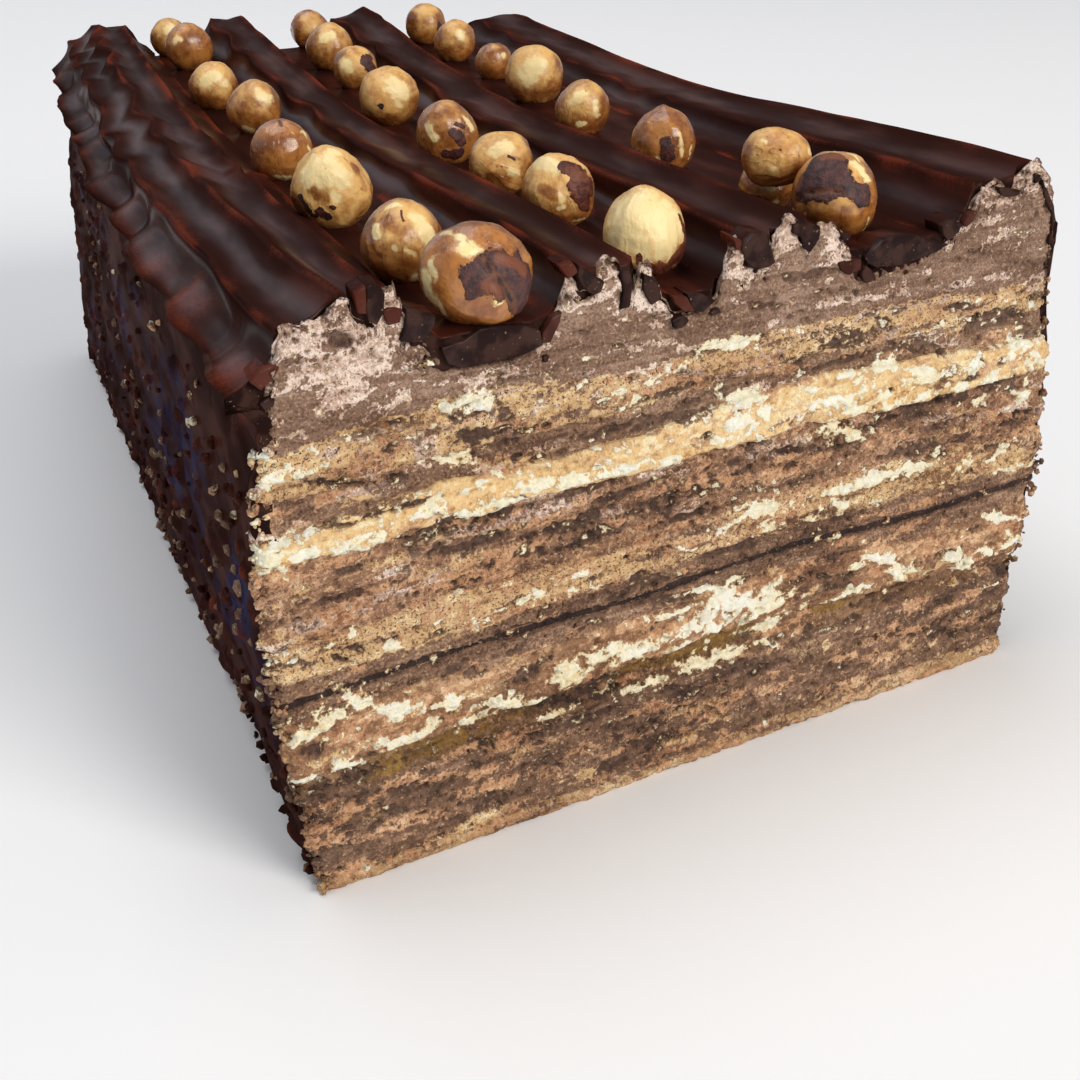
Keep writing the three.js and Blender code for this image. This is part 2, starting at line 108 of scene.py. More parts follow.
# Kernels in their channels: across, along, middle height, diameter, length over diameter, where the tip is
# as seen from the front (right, up), how caramel the coat is, how red the skin is, and marks of each kind as
# seen from the front: from right and up, to right and up, half width, in radii; a lump or dent has its
# height last
KERNELS = (
    (29.9, 11, 90.6, 15, 1.12, (-0.9, 0.2), 0.9, 0.15, dict(
        skin=(
            (0.15, 0.05, 0.55, 0.05, 0.36), (0.5, -0.1, 0.85, -0.3, 0.3), (0.6, -0.4, 0.7, -0.75, 0.15),
            (0.75, 0.2, 0.9, 0.05, 0.16), (-0.16, -0.05, -0.13, -0.3, 0.11),
        ),
        caramel=((0.4, 0.32, 0.85, 0.1, 0.12), (0.2, -0.2, 0.3, -0.3, 0.14)),
        pale=(
            (-0.6, 0.75, -0.2, 0.58, 0.07), (-0.15, 0.5, -0.02, 0.44, 0.14),
            (-0.72, 0.2, -0.7, 0.05, 0.11), (-0.84, -0.05, -0.8, -0.38, 0.13),
            (-0.66, -0.5, -0.58, -0.7, 0.06), (0.84, -0.66, 0.88, -0.6, 0.06),
            (0.36, -0.42, 0.38, -0.4, 0.09),
        ),
        crease=(
            (0.05, 0.36, 0.3, 0.05, 0.075), (0.3, 0.05, 0.55, -0.35, 0.085),
            (0.55, -0.35, 0.68, -0.8, 0.1), (-0.2, 0.62, 0.1, 0.42, 0.03), (0.1, 0.42, 0.7, 0.38, 0.04),
        ),
        lump=(
            (0.2, -0.7, 0.24, -0.7, 0.3, 0.09), (0.0, 0.85, 0.3, 0.8, 0.4, 0.09),
            (0.32, -0.38, 0.32, -0.38, 0.12, 0.03), (-0.14, -0.15, -0.14, -0.15, 0.13, -0.03),
        ),
    )),
    (26.4, 36.1, 89.4, 12.9, 1.03, (-0.1, 0.93), 0.5, 0.2, dict(
        skin=((0.0, 0.72, 0.03, 0.5, 0.034),),
        pale=(
            (-0.62, 0.4, -0.58, 0.24, 0.1), (0.08, -0.18, 0.3, -0.31, 0.055),
            (0.36, 0.55, 0.6, 0.12, 0.2), (0.26, -0.8, 0.36, -0.84, 0.13),
            (-0.32, 0.78, 0.05, 0.84, 0.06), (-0.2, -0.12, -0.16, -0.1, 0.05),
        ),
        caramel=((-0.5, -0.45, 0.0, -0.6, 0.2), (-0.4, 0.55, -0.2, 0.4, 0.15)),
        crease=((0.18, 0.62, 0.3, 0.18, 0.03), (-0.75, 0.1, -0.55, -0.3, 0.035)),
        lump=(
            (0.55, 0.2, 0.6, 0.1, 0.3, 0.05), (-0.1, 0.1, 0.1, -0.1, 0.3, 0.03),
            (-0.6, 0.35, -0.6, 0.35, 0.15, 0.02),
        ),
    )),
    (24.6, 73.4, 89.9, 14, 1.04, (-0.18, 0.86), 0.05, 0.15, dict(
        skin=(
            (-0.77, -0.16, -0.74, -0.3, 0.08), (-0.66, -0.42, -0.42, -0.64, 0.09),
            (-0.3, -0.54, -0.12, -0.66, 0.13), (0.0, -0.4, 0.07, -0.42, 0.055),
            (0.6, -0.06, 0.61, -0.08, 0.02),
        ),
        caramel=(
            (-0.48, 0.0, -0.4, -0.12, 0.14), (-0.25, -0.1, -0.1, -0.22, 0.12),
            (0.6, 0.5, 0.8, 0.0, 0.12),
        ),
        pale=(
            (0.07, -0.14, 0.12, -0.26, 0.12), (-0.35, 0.55, -0.15, 0.2, 0.25),
            (0.0, 0.6, 0.3, 0.2, 0.25), (-0.6, 0.35, -0.5, 0.2, 0.16), (0.1, 0.85, 0.2, 0.8, 0.1),
        ),
        crease=(
            (-0.18, 0.82, -0.12, 0.44, 0.025), (-0.12, 0.44, 0.22, 0.05, 0.03),
            (0.36, 0.68, 0.72, 0.0, 0.045), (-0.3, 0.8, -0.7, 0.3, 0.025),
        ),
        lump=((0.8, -0.35, 0.8, -0.3, 0.35, 0.1),),
    )),
    (24.6, 111.3, 89, 12.1, 1, (0.0, 0.95), 1.0, 0.1, dict(
        pale=(
            (0.35, 0.53, 0.36, 0.52, 0.06), (0.66, 0.52, 0.78, 0.35, 0.08),
            (-0.5, 0.28, -0.5, 0.27, 0.04), (0.8, 0.1, 0.85, 0.0, 0.07), (-0.2, -0.8, 0.1, -0.86, 0.12),
        ),
        crease=((0.0, 0.98, 0.05, 0.8, 0.07),),
        lump=((0.4, 0.35, 0.4, 0.35, 0.35, 0.03),),
    )),
    (29, 157.6, 88.9, 11.9, 1.02, (0.1, 0.9), 0.5, 0.1, dict(
        pale=((0.2, 0.45, 0.45, 0.3, 0.2), (-0.4, -0.7, -0.2, -0.8, 0.13)),
        caramel=((-0.4, 0.1, -0.3, -0.1, 0.2),),
    )),
    (25.9, 188.4, 88.8, 11.6, 1, (0.3, 0.8), 0.35, 0.1, dict(
        pale=((0.1, 0.4, -0.3, 0.2, 0.25), (0.4, 0.0, 0.5, 0.1, 0.12)),
        crease=((-0.1, 0.5, 0.4, 0.4, 0.03),),
    )),
    (30.2, 246.3, 89.2, 12.6, 1.03, (-0.2, 0.8), 0.75, 0.2, dict(pale=((-0.5, 0.3, -0.4, 0.4, 0.15),))),
    (29, 270.5, 88.5, 10.9, 1, (0, 0.8), 0.4, 0.2, dict(pale=((0, 0.4, 0.2, 0.4, 0.3),))),
    (63, 27.4, 89.5, 13.6, 1.05, (-0.05, 0.93), 0.0, 1.0, dict(
        skin=(
            (0.84, 0.32, 0.92, 0.1, 0.1), (0.95, -0.05, 0.9, -0.3, 0.12),
            (0.85, -0.4, 0.55, -0.72, 0.18), (0.5, -0.75, 0.1, -0.78, 0.17),
            (-0.1, -0.52, -0.08, -0.6, 0.07), (0.2, -0.95, 0.6, -0.8, 0.2),
        ),
        pale=((-0.3, 0.3, 0.4, 0.1, 0.75), (0.3, -0.15, 0.3, -0.2, 0.5)),
        caramel=(
            (0.25, -0.62, 0.45, -0.62, 0.1), (0.8, -0.36, 0.7, -0.45, 0.13),
            (-0.07, 0.83, -0.07, 0.76, 0.05),
        ),
    )),
    (61.5, 60.3, 89.1, 12.8, 1.04, (-0.3, 0.8), 0.25, 0.85, dict(
        skin=(
            (0.2, 0.58, 0.6, 0.45, 0.19), (0.5, 0.15, 0.85, 0.15, 0.26), (0.55, -0.15, 0.7, -0.35, 0.2),
            (-0.45, -0.55, -0.36, -0.66, 0.08),
        ),
        caramel=((0.4, 0.4, 0.7, 0.35, 0.15), (-0.4, 0.1, -0.1, -0.1, 0.16)),
        pale=(
            (0.06, -0.16, 0.1, -0.24, 0.09), (-0.5, 0.7, -0.1, 0.6, 0.2),
            (0.04, -0.45, 0.16, -0.4, 0.06), (0.4, -0.8, 0.62, -0.72, 0.07),
        ),
        crease=(
            (0.3, 0.14, 0.9, 0.1, 0.03), (0.35, -0.2, 0.85, -0.12, 0.025),
            (0.4, -0.38, 0.75, -0.3, 0.025),
        ),
    )),
    (59.7, 85.1, 88.9, 12.2, 1, (-0.8, 0.3), 0.3, 0.1, dict(
        skin=((0.26, 0.22, 0.44, 0.1, 0.04), (0.04, -0.08, 0.08, -0.08, 0.035)),
        caramel=((-0.3, -0.4, 0.2, -0.5, 0.2),),
        pale=((-0.2, 0.4, 0.2, 0.5, 0.22), (0.3, -0.25, 0.5, -0.3, 0.1)),
        crease=((-0.4, 0.5, -0.1, -0.1, 0.03), (0.0, 0.55, 0.3, 0.0, 0.03)),
    )),
    (58.7, 114.5, 89.1, 12.9, 1.02, (-0.2, 0.8), 0.7, 0.3, dict(
        skin=(
            (0.25, 0.0, 0.45, -0.25, 0.15), (0.0, -0.6, 0.35, -0.6, 0.16), (0.3, 0.28, 0.5, 0.2, 0.07),
        ),
        pale=((0.6, 0.45, 0.75, 0.25, 0.12), (-0.5, 0.2, -0.4, -0.1, 0.14)),
    )),
    (58.7, 156.2, 89.4, 13.5, 1.03, (-0.5, -0.2), 0.25, 0.1, dict(
        skin=((-0.3, -0.22, -0.26, -0.28, 0.1),),
        pale=((0.1, 0.4, 0.45, 0.1, 0.28), (0.3, -0.2, 0.35, -0.3, 0.1)),
        crease=((-0.6, 0.5, 0.0, 0.35, 0.04), (0.0, 0.35, 0.15, -0.1, 0.03)),
        lump=((0.2, 0.45, 0.2, 0.45, 0.4, 0.04),),
    )),
    (63.5, 203, 88.4, 11.1, 1, (-0.3, 0.7), 0.4, 0.3, dict(
        skin=((0.45, 0.3, 0.75, -0.1, 0.22), (0.6, 0.5, 0.7, 0.4, 0.12)),
        pale=((-0.4, 0.25, -0.3, 0, 0.25),),
    )),
    (64.7, 233, 89, 12.5, 1.02, (0.1, 0.9), 0.5, 0.2, dict(
        pale=((-0.3, 0.4, 0.1, 0.5, 0.16),),
        caramel=((0.3, -0.2, 0.4, 0, 0.3),),
    )),
    (68.6, 271.4, 88.5, 11.1, 1, (0.2, 0.8), 0.6, 0.2, dict()),
    (99.4, 32, 91, 14.6, 1.05, (-0.1, 0.85), 0.5, 0.12, dict(
        skin=(
            (-0.4, 0.62, 0.0, 0.68, 0.27), (-0.6, 0.25, 0.0, 0.3, 0.3), (0.05, 0.45, 0.25, 0.15, 0.2),
            (0.35, 0.12, 0.65, 0.1, 0.2), (0.58, -0.1, 0.68, -0.14, 0.12), (-0.8, 0.0, 0.0, 0.04, 0.12),
        ),
        pale=(
            (0.42, 0.72, 0.7, 0.42, 0.13), (0.25, 0.93, 0.5, 0.82, 0.05),
            (0.8, -0.5, 0.78, -0.85, 0.05), (-0.95, -0.3, -0.6, -0.42, 0.045),
        ),
        caramel=((-0.3, 0.75, 0.1, 0.8, 0.1), (-0.75, 0.4, -0.8, 0.1, 0.08)),
        crease=(
            (-0.88, -0.1, -0.5, 0.07, 0.075), (-0.5, 0.07, 0.1, 0.12, 0.085),
            (0.1, 0.12, 0.4, 0.16, 0.03),
        ),
        lump=((-0.3, 0.45, 0.1, 0.5, 0.35, 0.03), (0.0, -0.35, 0.2, -0.4, 0.4, 0.04)),
    )),
    (97.6, 51.8, 88.4, 9.7, 1.02, (0.2, -0.3), 0.7, 0.2, dict(
        caramel=((0.0, -0.2, 0.2, -0.3, 0.3),),
        pale=((0.05, 0.1, 0.2, 0.0, 0.14), (0.3, -0.5, 0.35, -0.55, 0.12)),
        skin=((-0.3, -0.35, -0.2, -0.42, 0.08),),
    )),
    (94.8, 44.3, 95.3, 10.3, 1.16, (0.95, 0.05), 0.3, 0.1, dict(
        skin=((0.06, 0.34, 0.12, 0.28, 0.035),),
        pale=(
            (-0.45, 0.5, -0.35, 0.52, 0.08), (0.98, 0.1, 0.9, 0.2, 0.1),
            (-0.12, -0.3, 0.0, -0.33, 0.08),
        ),
        crease=(
            (-0.85, 0.25, -0.2, 0.42, 0.035), (-0.2, 0.42, 0.5, 0.42, 0.03),
            (0.5, 0.42, 0.72, -0.1, 0.035), (-0.6, 0.0, -0.2, 0.14, 0.025),
            (-0.2, 0.14, 0.4, 0.05, 0.025),
        ),
        lump=((-0.1, -0.35, 0.0, -0.38, 0.22, 0.07), (0.2, 0.1, 0.3, 0.0, 0.3, 0.03)),
    )),
    (94.3, 88.3, 89.7, 12.2, 1.05, (0.0, 0.96), 0.85, 0.3, dict(
        skin=(
            (0.08, 0.0, 0.12, -0.5, 0.17), (0.25, -0.2, 0.25, -0.5, 0.1),
            (-0.75, -0.35, -0.7, -0.5, 0.12),
        ),
        pale=(
            (0.5, 0.25, 0.55, -0.45, 0.07), (0.85, -0.1, 0.8, -0.5, 0.05),
            (-0.14, -0.5, -0.1, -0.6, 0.08),
        ),
        crease=((0.64, 0.3, 0.68, -0.5, 0.04), (0.36, 0.35, 0.38, -0.5, 0.03)),
        lump=((0.0, 0.98, 0, 0.98, 0.16, 0.09),),
    )),
    (92.9, 126.4, 89.5, 11.8, 1.03, (0.3, 0.8), 0.5, 0.1, dict(
        pale=((-0.3, 0.3, 0.0, 0.5, 0.18), (0.5, -0.2, 0.5, 0.2, 0.12), (-0.1, -0.5, 0.1, -0.5, 0.1)),
        crease=((0.1, 0.6, 0.3, -0.1, 0.04), (-0.4, 0.4, -0.35, -0.3, 0.035)),
    )),
    (96.4, 164.6, 90.4, 13.8, 1.04, (0.1, 0.8), 0.2, 0.1, dict(
        pale=((0.1, 0.3, -0.2, 0.0, 0.32),),
        crease=((-0.4, 0.5, -0.3, -0.2, 0.04),),
        caramel=((0.3, -0.6, 0.5, -0.4, 0.2),),
    )),
    (98.1, 197.9, 88.4, 9.6, 1, (0, 0.8), 0.7, 0.1, dict(pale=((0.5, 0.4, 0.55, 0.3, 0.15),))),
    (98, 228.7, 89.2, 11.2, 1, (0.1, 0.8), 0.45, 0.1, dict(pale=((0.2, 0.4, 0.3, 0.2, 0.2),))),
    (99.6, 260.5, 89.4, 11.6, 1, (0, 0.8), 0.5, 0.3, dict(skin=((0.7, 0.0, 0.7, -0.3, 0.15),))),
)
CHANNEL_OF = (0,) * 8 + (1,) * 8 + (2,) * 9  # which channel each kernel lies in

# Upper edge of the mousse along the cut, as broken by the knife: across, up
MOUSSE_EDGE = (
    (-7, 79), (-3.2, 80.5), (-2.6, 84), (-2, 88.2), (0.2, 90), (3, 89.5), (6.4, 90.4), (7.6, 92.4),
    (9, 92.2), (9.9, 90), (11.5, 89), (13, 89.2), (13.6, 92.2), (14.6, 93.2), (15.2, 91.4), (16.2, 91),
    (16.6, 86), (18.5, 84.8), (20.6, 84.8), (21.5, 83.6), (23.5, 80.4), (30, 79.9), (36, 79.9),
    (38.3, 81), (39.5, 83.2), (41.2, 86), (42.4, 90), (43.4, 89.2), (44.6, 87.4), (47.4, 87),
    (48.4, 90.6), (49.6, 91.8), (50.6, 90.2), (51.2, 86), (53, 85.6), (53.4, 88), (54.4, 90),
    (55.6, 90.2), (56.4, 87), (58, 85.5), (60, 83.6), (61, 81.6), (63, 81), (65, 81.4), (68, 82.2),
    (69.2, 85), (69.9, 88.5), (71, 91.4), (72.2, 90.8), (73, 87.2), (76.5, 86.3), (78.6, 87),
    (79.4, 90.5), (81.3, 93.2), (82.8, 92), (83.8, 90.2), (85.8, 88), (87.4, 89.2), (88.4, 90.8),
    (90.8, 91), (92.4, 88.6), (93.8, 86.2), (94.4, 83.6), (97, 82), (99, 82), (104, 82.1), (109, 82.4),
    (113, 83.6), (115.4, 84.8), (117.6, 87), (119.4, 86.8), (120.6, 89.4), (121.6, 91.8), (124, 93.4),
    (125.4, 91), (129, 90.8), (130.2, 93.2), (131.8, 94.8), (133.4, 95.6), (134.6, 94.6), (136.2, 91.6),
    (137.6, 89), (139, 86.5), (140.4, 83.5), (140.6, 80), (141, 77),
)

# How far behind the cut the ganache starts, along the cut: across, back
GLAZE_BROKEN = (
    (-14, 0.5), (-3, 0.6), (0, 1.6), (8, 2.6), (9.8, 0.4), (13, 0.4), (14, 3), (15.8, 2.4), (16.8, 0.4),
    (20, 0.4), (22, 0.2), (37, 0.2), (40, 1), (43, 2.5), (44.5, 0.5), (47.8, 0.5), (49.5, 3), (51, 0.5),
    (53.4, 0.6), (55.5, 3), (58, 1), (61, 0.8), (68, 0.8), (70, 3), (72.5, 0.4), (78.5, 0.4), (80, 3.4),
    (83, 0.6), (87.5, 0.6), (90, 2.6), (92, 1), (97, 0.3), (115, 0.3), (117, 0.5), (120, 1.2),
    (123, 2.8), (125, 0.8), (129.5, 0.8), (132, 3.4), (136, 2), (139, 0.6), (150, 0.5),
)

# Patches of other stuff on the cut: across, up, half length, half height, turn in degrees
PATCHES = {
    "cocoa": (
        (10, 61.6, 8, 0.8, 2), (60, 64.6, 8, 1, 0), (50, 63.6, 5, 0.8, 0), (45, 69, 8, 1, 0),
        (75, 69.4, 6, 1.2, 0), (30, 28.6, 4, 1.6, 10), (90, 27, 6, 3, 0), (120, 24.5, 6, 1.5, 0),
        (130, 27, 4, 1, 0), (98, 26.5, 5, 1.6, 0), (30, 24.4, 5, 1.2, 0), (116, 59.6, 5, 1.6, 0),
        (86, 59.8, 7, 1.2, 10), (66, 59.6, 2.5, 1, 0), (20, 71, 4, 1.4, 20), (37, 43.6, 2, 0.8, 0),
        (58, 42, 5, 1, 0), (68, 41.6, 6, 0.8, 0), (92, 41.6, 9, 0.7, 0), (128, 40.6, 6, 0.8, 0),
        (60, 2, 20, 0.7, 0), (100, 2.2, 20, 0.8, 0), (138, 3, 4, 1.2, 0), (81, 73.4, 4, 0.7, 0),
        (112, 70.4, 6, 0.7, 0), (117, 61.2, 4.5, 2, 10), (134, 72.6, 6, 1, 0), (129, 64.4, 7, 1.3, 0),
    ),
    "ivory": (
        (-3, 28.5, 2.2, 1.2, 20), (2.5, 30.2, 4, 1.8, 10), (7.5, 31.3, 2.5, 1, 15),
        (12.5, 28.8, 2.8, 1.2, -8), (4, 21.5, 3.4, 1, -5), (-2, 21.5, 2.5, 0.6, 0),
        (13, 22.8, 4, 1, -4), (17, 23.3, 2.5, 1, 0), (20.5, 27, 2.6, 0.7, 5), (22.2, 26, 0.9, 1.5, 0),
        (25.5, 22.3, 2.6, 0.6, -5), (32.5, 23, 3, 1.2, -25), (36, 22.2, 2.5, 0.7, 0),
        (43, 25.5, 3.5, 2.2, 10), (49, 26.8, 5.5, 1.7, -3), (55, 25.3, 4.5, 1.2, 10),
        (63, 30.5, 4, 0.6, 3), (70, 28.5, 4.5, 2.6, 30), (72, 30.5, 3, 1.6, 0), (75, 29, 5, 1.5, -10),
        (81, 26.8, 5, 2.8, -10), (82.5, 23, 2.3, 1.8, 0), (70.5, 25.5, 2.6, 1, -10),
        (64.5, 24, 3, 0.5, 12), (57, 18.2, 3.4, 0.7, 5), (40.5, 18, 3.5, 0.6, -3),
        (70.5, 18.7, 8.5, 1.1, 2), (83, 18.3, 2.2, 0.5, -35), (97, 23.2, 2.3, 0.6, -10),
        (102, 24, 2.5, 0.8, -5), (101, 28.7, 1.8, 0.6, 10), (107, 28.5, 4.5, 0.9, -25),
        (111.5, 25, 3.2, 1.4, -20), (109, 21.3, 0.8, 1, 0), (125, 24.3, 2.4, 1, -5),
        (125.6, 22.2, 1.1, 1.1, 40), (128.6, 21.4, 1.3, 1.5, 40), (134.5, 30, 4.5, 0.7, -15),
        (133, 23.3, 2.6, 1, -20), (138.5, 23.5, 3.5, 1, 10), (140, 21, 1.4, 1.2, 0),
        (22.8, 66.3, 2.4, 1, 0), (72, 74.6, 3.6, 0.8, -5), (80, 45, 5, 1.3, -5), (75, 44.3, 3, 0.6, 20),
        (95, 44.8, 4, 0.7, 0), (105, 45, 6, 0.9, 0), (115.5, 44.4, 3, 0.8, 0),
        (97, 41.5, 2.5, 0.8, -10), (-5, 58, 2.5, 2.3, 0), (1, 57.6, 6, 0.8, 2), (11.5, 57.3, 1, 0.8, 0),
        (37.5, 59.3, 5, 1.3, 0), (43, 58.8, 4, 1.3, 0), (53, 58.2, 3, 0.9, 0), (60, 58.2, 4, 0.8, 0),
        (73, 61.5, 4, 1.6, 0), (96, 65.3, 5, 0.7, -3), (76, 64.8, 3, 1, 0), (88, 64.2, 2.5, 0.7, 0),
        (104, 65, 4, 0.7, -10), (110, 63, 3, 0.8, -30), (93.5, 56.5, 2.6, 1.4, -10),
        (97, 54.6, 2.6, 0.9, -30), (103, 59.5, 3.5, 1, 10), (133, 61.6, 2, 1.9, 0),
        (128.7, 59, 1.8, 1.1, 20), (138, 56, 0.8, 2.4, 0), (137.5, 53.3, 2, 0.7, 0),
        (126, 54.3, 1.3, 0.6, 0), (-5.5, 72.7, 2.5, 0.7, 0), (26, 74.9, 3, 0.6, 8),
    ),
    "tan": (
        (18, 42, 7, 1.6, 12), (24.5, 43, 2.6, 2.2, 20), (10, 38.8, 12, 1, 3), (45, 43.2, 11, 1.4, 0),
        (36, 62.6, 6, 1.6, -8), (12, 68.6, 7, 1.4, 3), (-4, 70.5, 3, 2.5, 0), (26, 70.6, 1.2, 1.5, 0),
        (31, 69.2, 1.2, 1.4, 0), (9, 64.3, 2.2, 1, 0), (120, 68.4, 3.4, 1.2, 10),
        (131, 71.5, 7, 1.6, 0), (47, 4.5, 3, 1.2, -30), (26, 3.3, 6, 1.2, 5), (96, 14.4, 0.8, 1.4, 0),
        (95.2, 4, 0.9, 1, 0), (122.5, 7.3, 2.4, 0.8, 25), (125.5, 15.5, 1.4, 0.7, -45),
        (125.7, 18.6, 0.8, 1.1, 0), (67, 5, 1.4, 1, 0), (104, 40.8, 7, 1, -5), (126, 42.8, 5, 1.2, 12),
        (135, 41, 5, 1.3, 0), (112, 60.5, 6, 1.4, -10), (58, 71.8, 9, 1, 0), (28, 53.4, 6, 0.5, -6),
        (34.5, 53.1, 5, 0.7, -6),
    ),
    "orange": (
        (5, 27.3, 6, 2.2, 0), (13, 26.5, 6, 2, -10), (20, 24.2, 5, 1.2, -10), (62.5, 27.3, 4.6, 2.4, 0),
        (118, 28, 5, 2.2, -15), (136, 27.3, 5, 1.7, -10), (106, 26.3, 3, 1.3, -15),
        (126.5, 60.8, 4, 1.8, 0), (45, 23.6, 3, 1, 0), (5, 46.5, 5, 2.2, 0), (24, 46.5, 9, 1.6, -4),
        (12, 48.6, 6, 1, 5), (34, 48.5, 9, 2, 0), (12, 7.6, 10, 1.4, 3), (30, 9, 8, 1.1, 0),
        (118, 11, 6, 0.9, -8), (101, 10.4, 5, 0.8, -5), (70, 51.5, 9, 1.8, -8), (84, 50.6, 6, 1.3, 0),
        (107, 52, 4, 1.1, -10), (44, 51.4, 2.4, 1.3, 0), (67, 54, 3, 1.4, 20), (132, 50, 6, 1.6, -10),
        (126, 60.2, 5, 2.1, 10), (133, 60.4, 4, 2, 0), (4, 2.4, 3, 1.6, 10), (82, 42.6, 6, 1, 0),
        (108, 66.6, 4, 0.6, -10),
    ),
    # Umber patches: darker crumb, partly painted shade of hollows and holes in the cut
    "umber": (
        (26, 51.9, 6, 1.1, 3), (45, 56.3, 6, 0.9, 2), (51, 56.2, 0.9, 0.8, 30), (30, 55.8, 6, 0.7, 0),
        (73.5, 54.4, 2.6, 1, -15), (85, 53.9, 7, 0.5, -8), (114, 56.1, 9, 0.7, -2),
        (122.5, 55.5, 2.4, 1, 0), (131, 56.6, 6, 0.8, 0), (5, 49.2, 5, 0.7, 0),
        (31.5, 72.2, 1, 2.2, 30), (27, 73, 2, 1, 0), (6, 66.6, 4, 0.5, -15),
        (14.5, 65.5, 1.5, 0.6, -20), (24, 72.4, 2, 0.7, 0), (60, 69, 5, 0.8, 5), (95, 71.3, 7, 0.5, 5),
        (86, 69, 1.2, 0.8, 0), (120, 72.4, 4, 0.6, -8), (116, 65, 1, 0.5, 0), (45, 15.6, 8, 1.1, 0),
        (65, 14.8, 5, 1.2, -20), (77, 15.6, 6, 1.3, 0), (92, 18, 1.4, 1.2, 0), (102, 17.6, 3, 0.8, 0),
        (138, 18, 2.6, 2, 0), (8, 21.8, 1.3, 0.8, 0), (48.5, 22.2, 2.4, 1, -5), (-1, 26, 2.2, 1.3, 10),
        (35, 27.6, 3, 1.6, 0), (55, 39, 1.4, 0.8, 0), (22.5, 32, 2.4, 1, 20),
        (101.8, 58.3, 0.9, 0.8, 0), (105.5, 60.6, 0.9, 0.6, 0), (67.7, 60.6, 0.9, 0.8, 0),
        (34, 57.8, 2, 0.7, 0), (97, 56.2, 1.2, 0.5, -30), (126.9, 22.2, 0.8, 1, 0),
        (118.5, 61, 3.4, 1.5, 12), (124.5, 61.6, 2.6, 0.8, 15), (123.5, 58.8, 2.6, 0.7, 10),
        (130.8, 60.8, 1.5, 0.9, 30), (72, 27.9, 3, 0.4, -20), (77.5, 25.3, 1.6, 0.4, 30),
        (73.4, 63.1, 0.9, 0.5, 0), (130.6, 60.6, 0.7, 1.2, 20), (7, 86.8, 1.7, 1.2, 0),
        (34, 64.2, 1, 0.8, 0), (111, 48, 8, 1.2, -3), (127, 69, 8, 1.6, 0), (22, 56.8, 4, 0.9, 10),
        (66, 46.8, 9, 0.7, 0), (52, 54, 5, 0.8, 5), (14, 60.9, 9, 0.6, 2), (60, 64.6, 8, 1, 0),
        (50, 64.8, 5, 0.7, 0), (27, 69, 5, 1.4, -5), (94, 67.4, 8, 0.8, 3),
    ),
    "amber": (
        (20, 19.6, 11, 2, -2), (12, 18.6, 4, 1.5, 0), (55, 22, 5, 1.2, 8), (70, 22.2, 10, 1.6, 3),
        (78, 22.4, 4, 1.4, 0), (66, 21.4, 12, 1.1, 0), (98, 21.4, 5, 1, -3), (107, 21.5, 3, 0.7, 0),
        (34, 20.2, 6, 1, 0), (45, 20.6, 5, 0.8, 0),
    ),
    "blush": (
        (10, 83, 10, 4, 0), (12, 89.5, 6, 3, 0), (3, 87.5, 4, 2.4, 0), (7, 79, 5, 1.6, -5),
        (5, 71.2, 2.4, 0.9, 0), (9.5, 72.6, 1.8, 0.5, 0), (46, 86.6, 6, 2, 0), (55, 84.6, 5, 1.4, -20),
        (50, 90, 2, 2.5, 0), (75, 85.6, 6, 1.2, 0), (81.5, 90.5, 3.4, 3, 0), (90.5, 88, 2.6, 2.4, 0),
        (70, 88.5, 1.6, 3, 0), (62, 82.3, 3, 0.6, 20), (126, 89.4, 6, 1, 0), (123, 92, 2, 1.6, 0),
        (133, 92.5, 2.4, 2.6, 0), (29, 77.4, 6, 1, 0), (57.5, 77.2, 3, 0.7, 0), (64, 75.4, 2.4, 0.7, 0),
        (98, 77.5, 8, 0.7, -3), (115, 86, 3, 1, 30),
    ),
}
STUFFS = ("cocoa", "tan", "orange", "blush", "amber", "umber", "ivory")  # each lies over those before it
# What each layer mostly is, from the table upwards and with the mousse last, for where neighbours mingle
GROUNDS = (
    "tan", "cocoa", "cocoa", "orange", "cocoa", "umber", "cocoa",
    "tan", "orange", "tan", "cocoa", "tan", "cocoa",
)

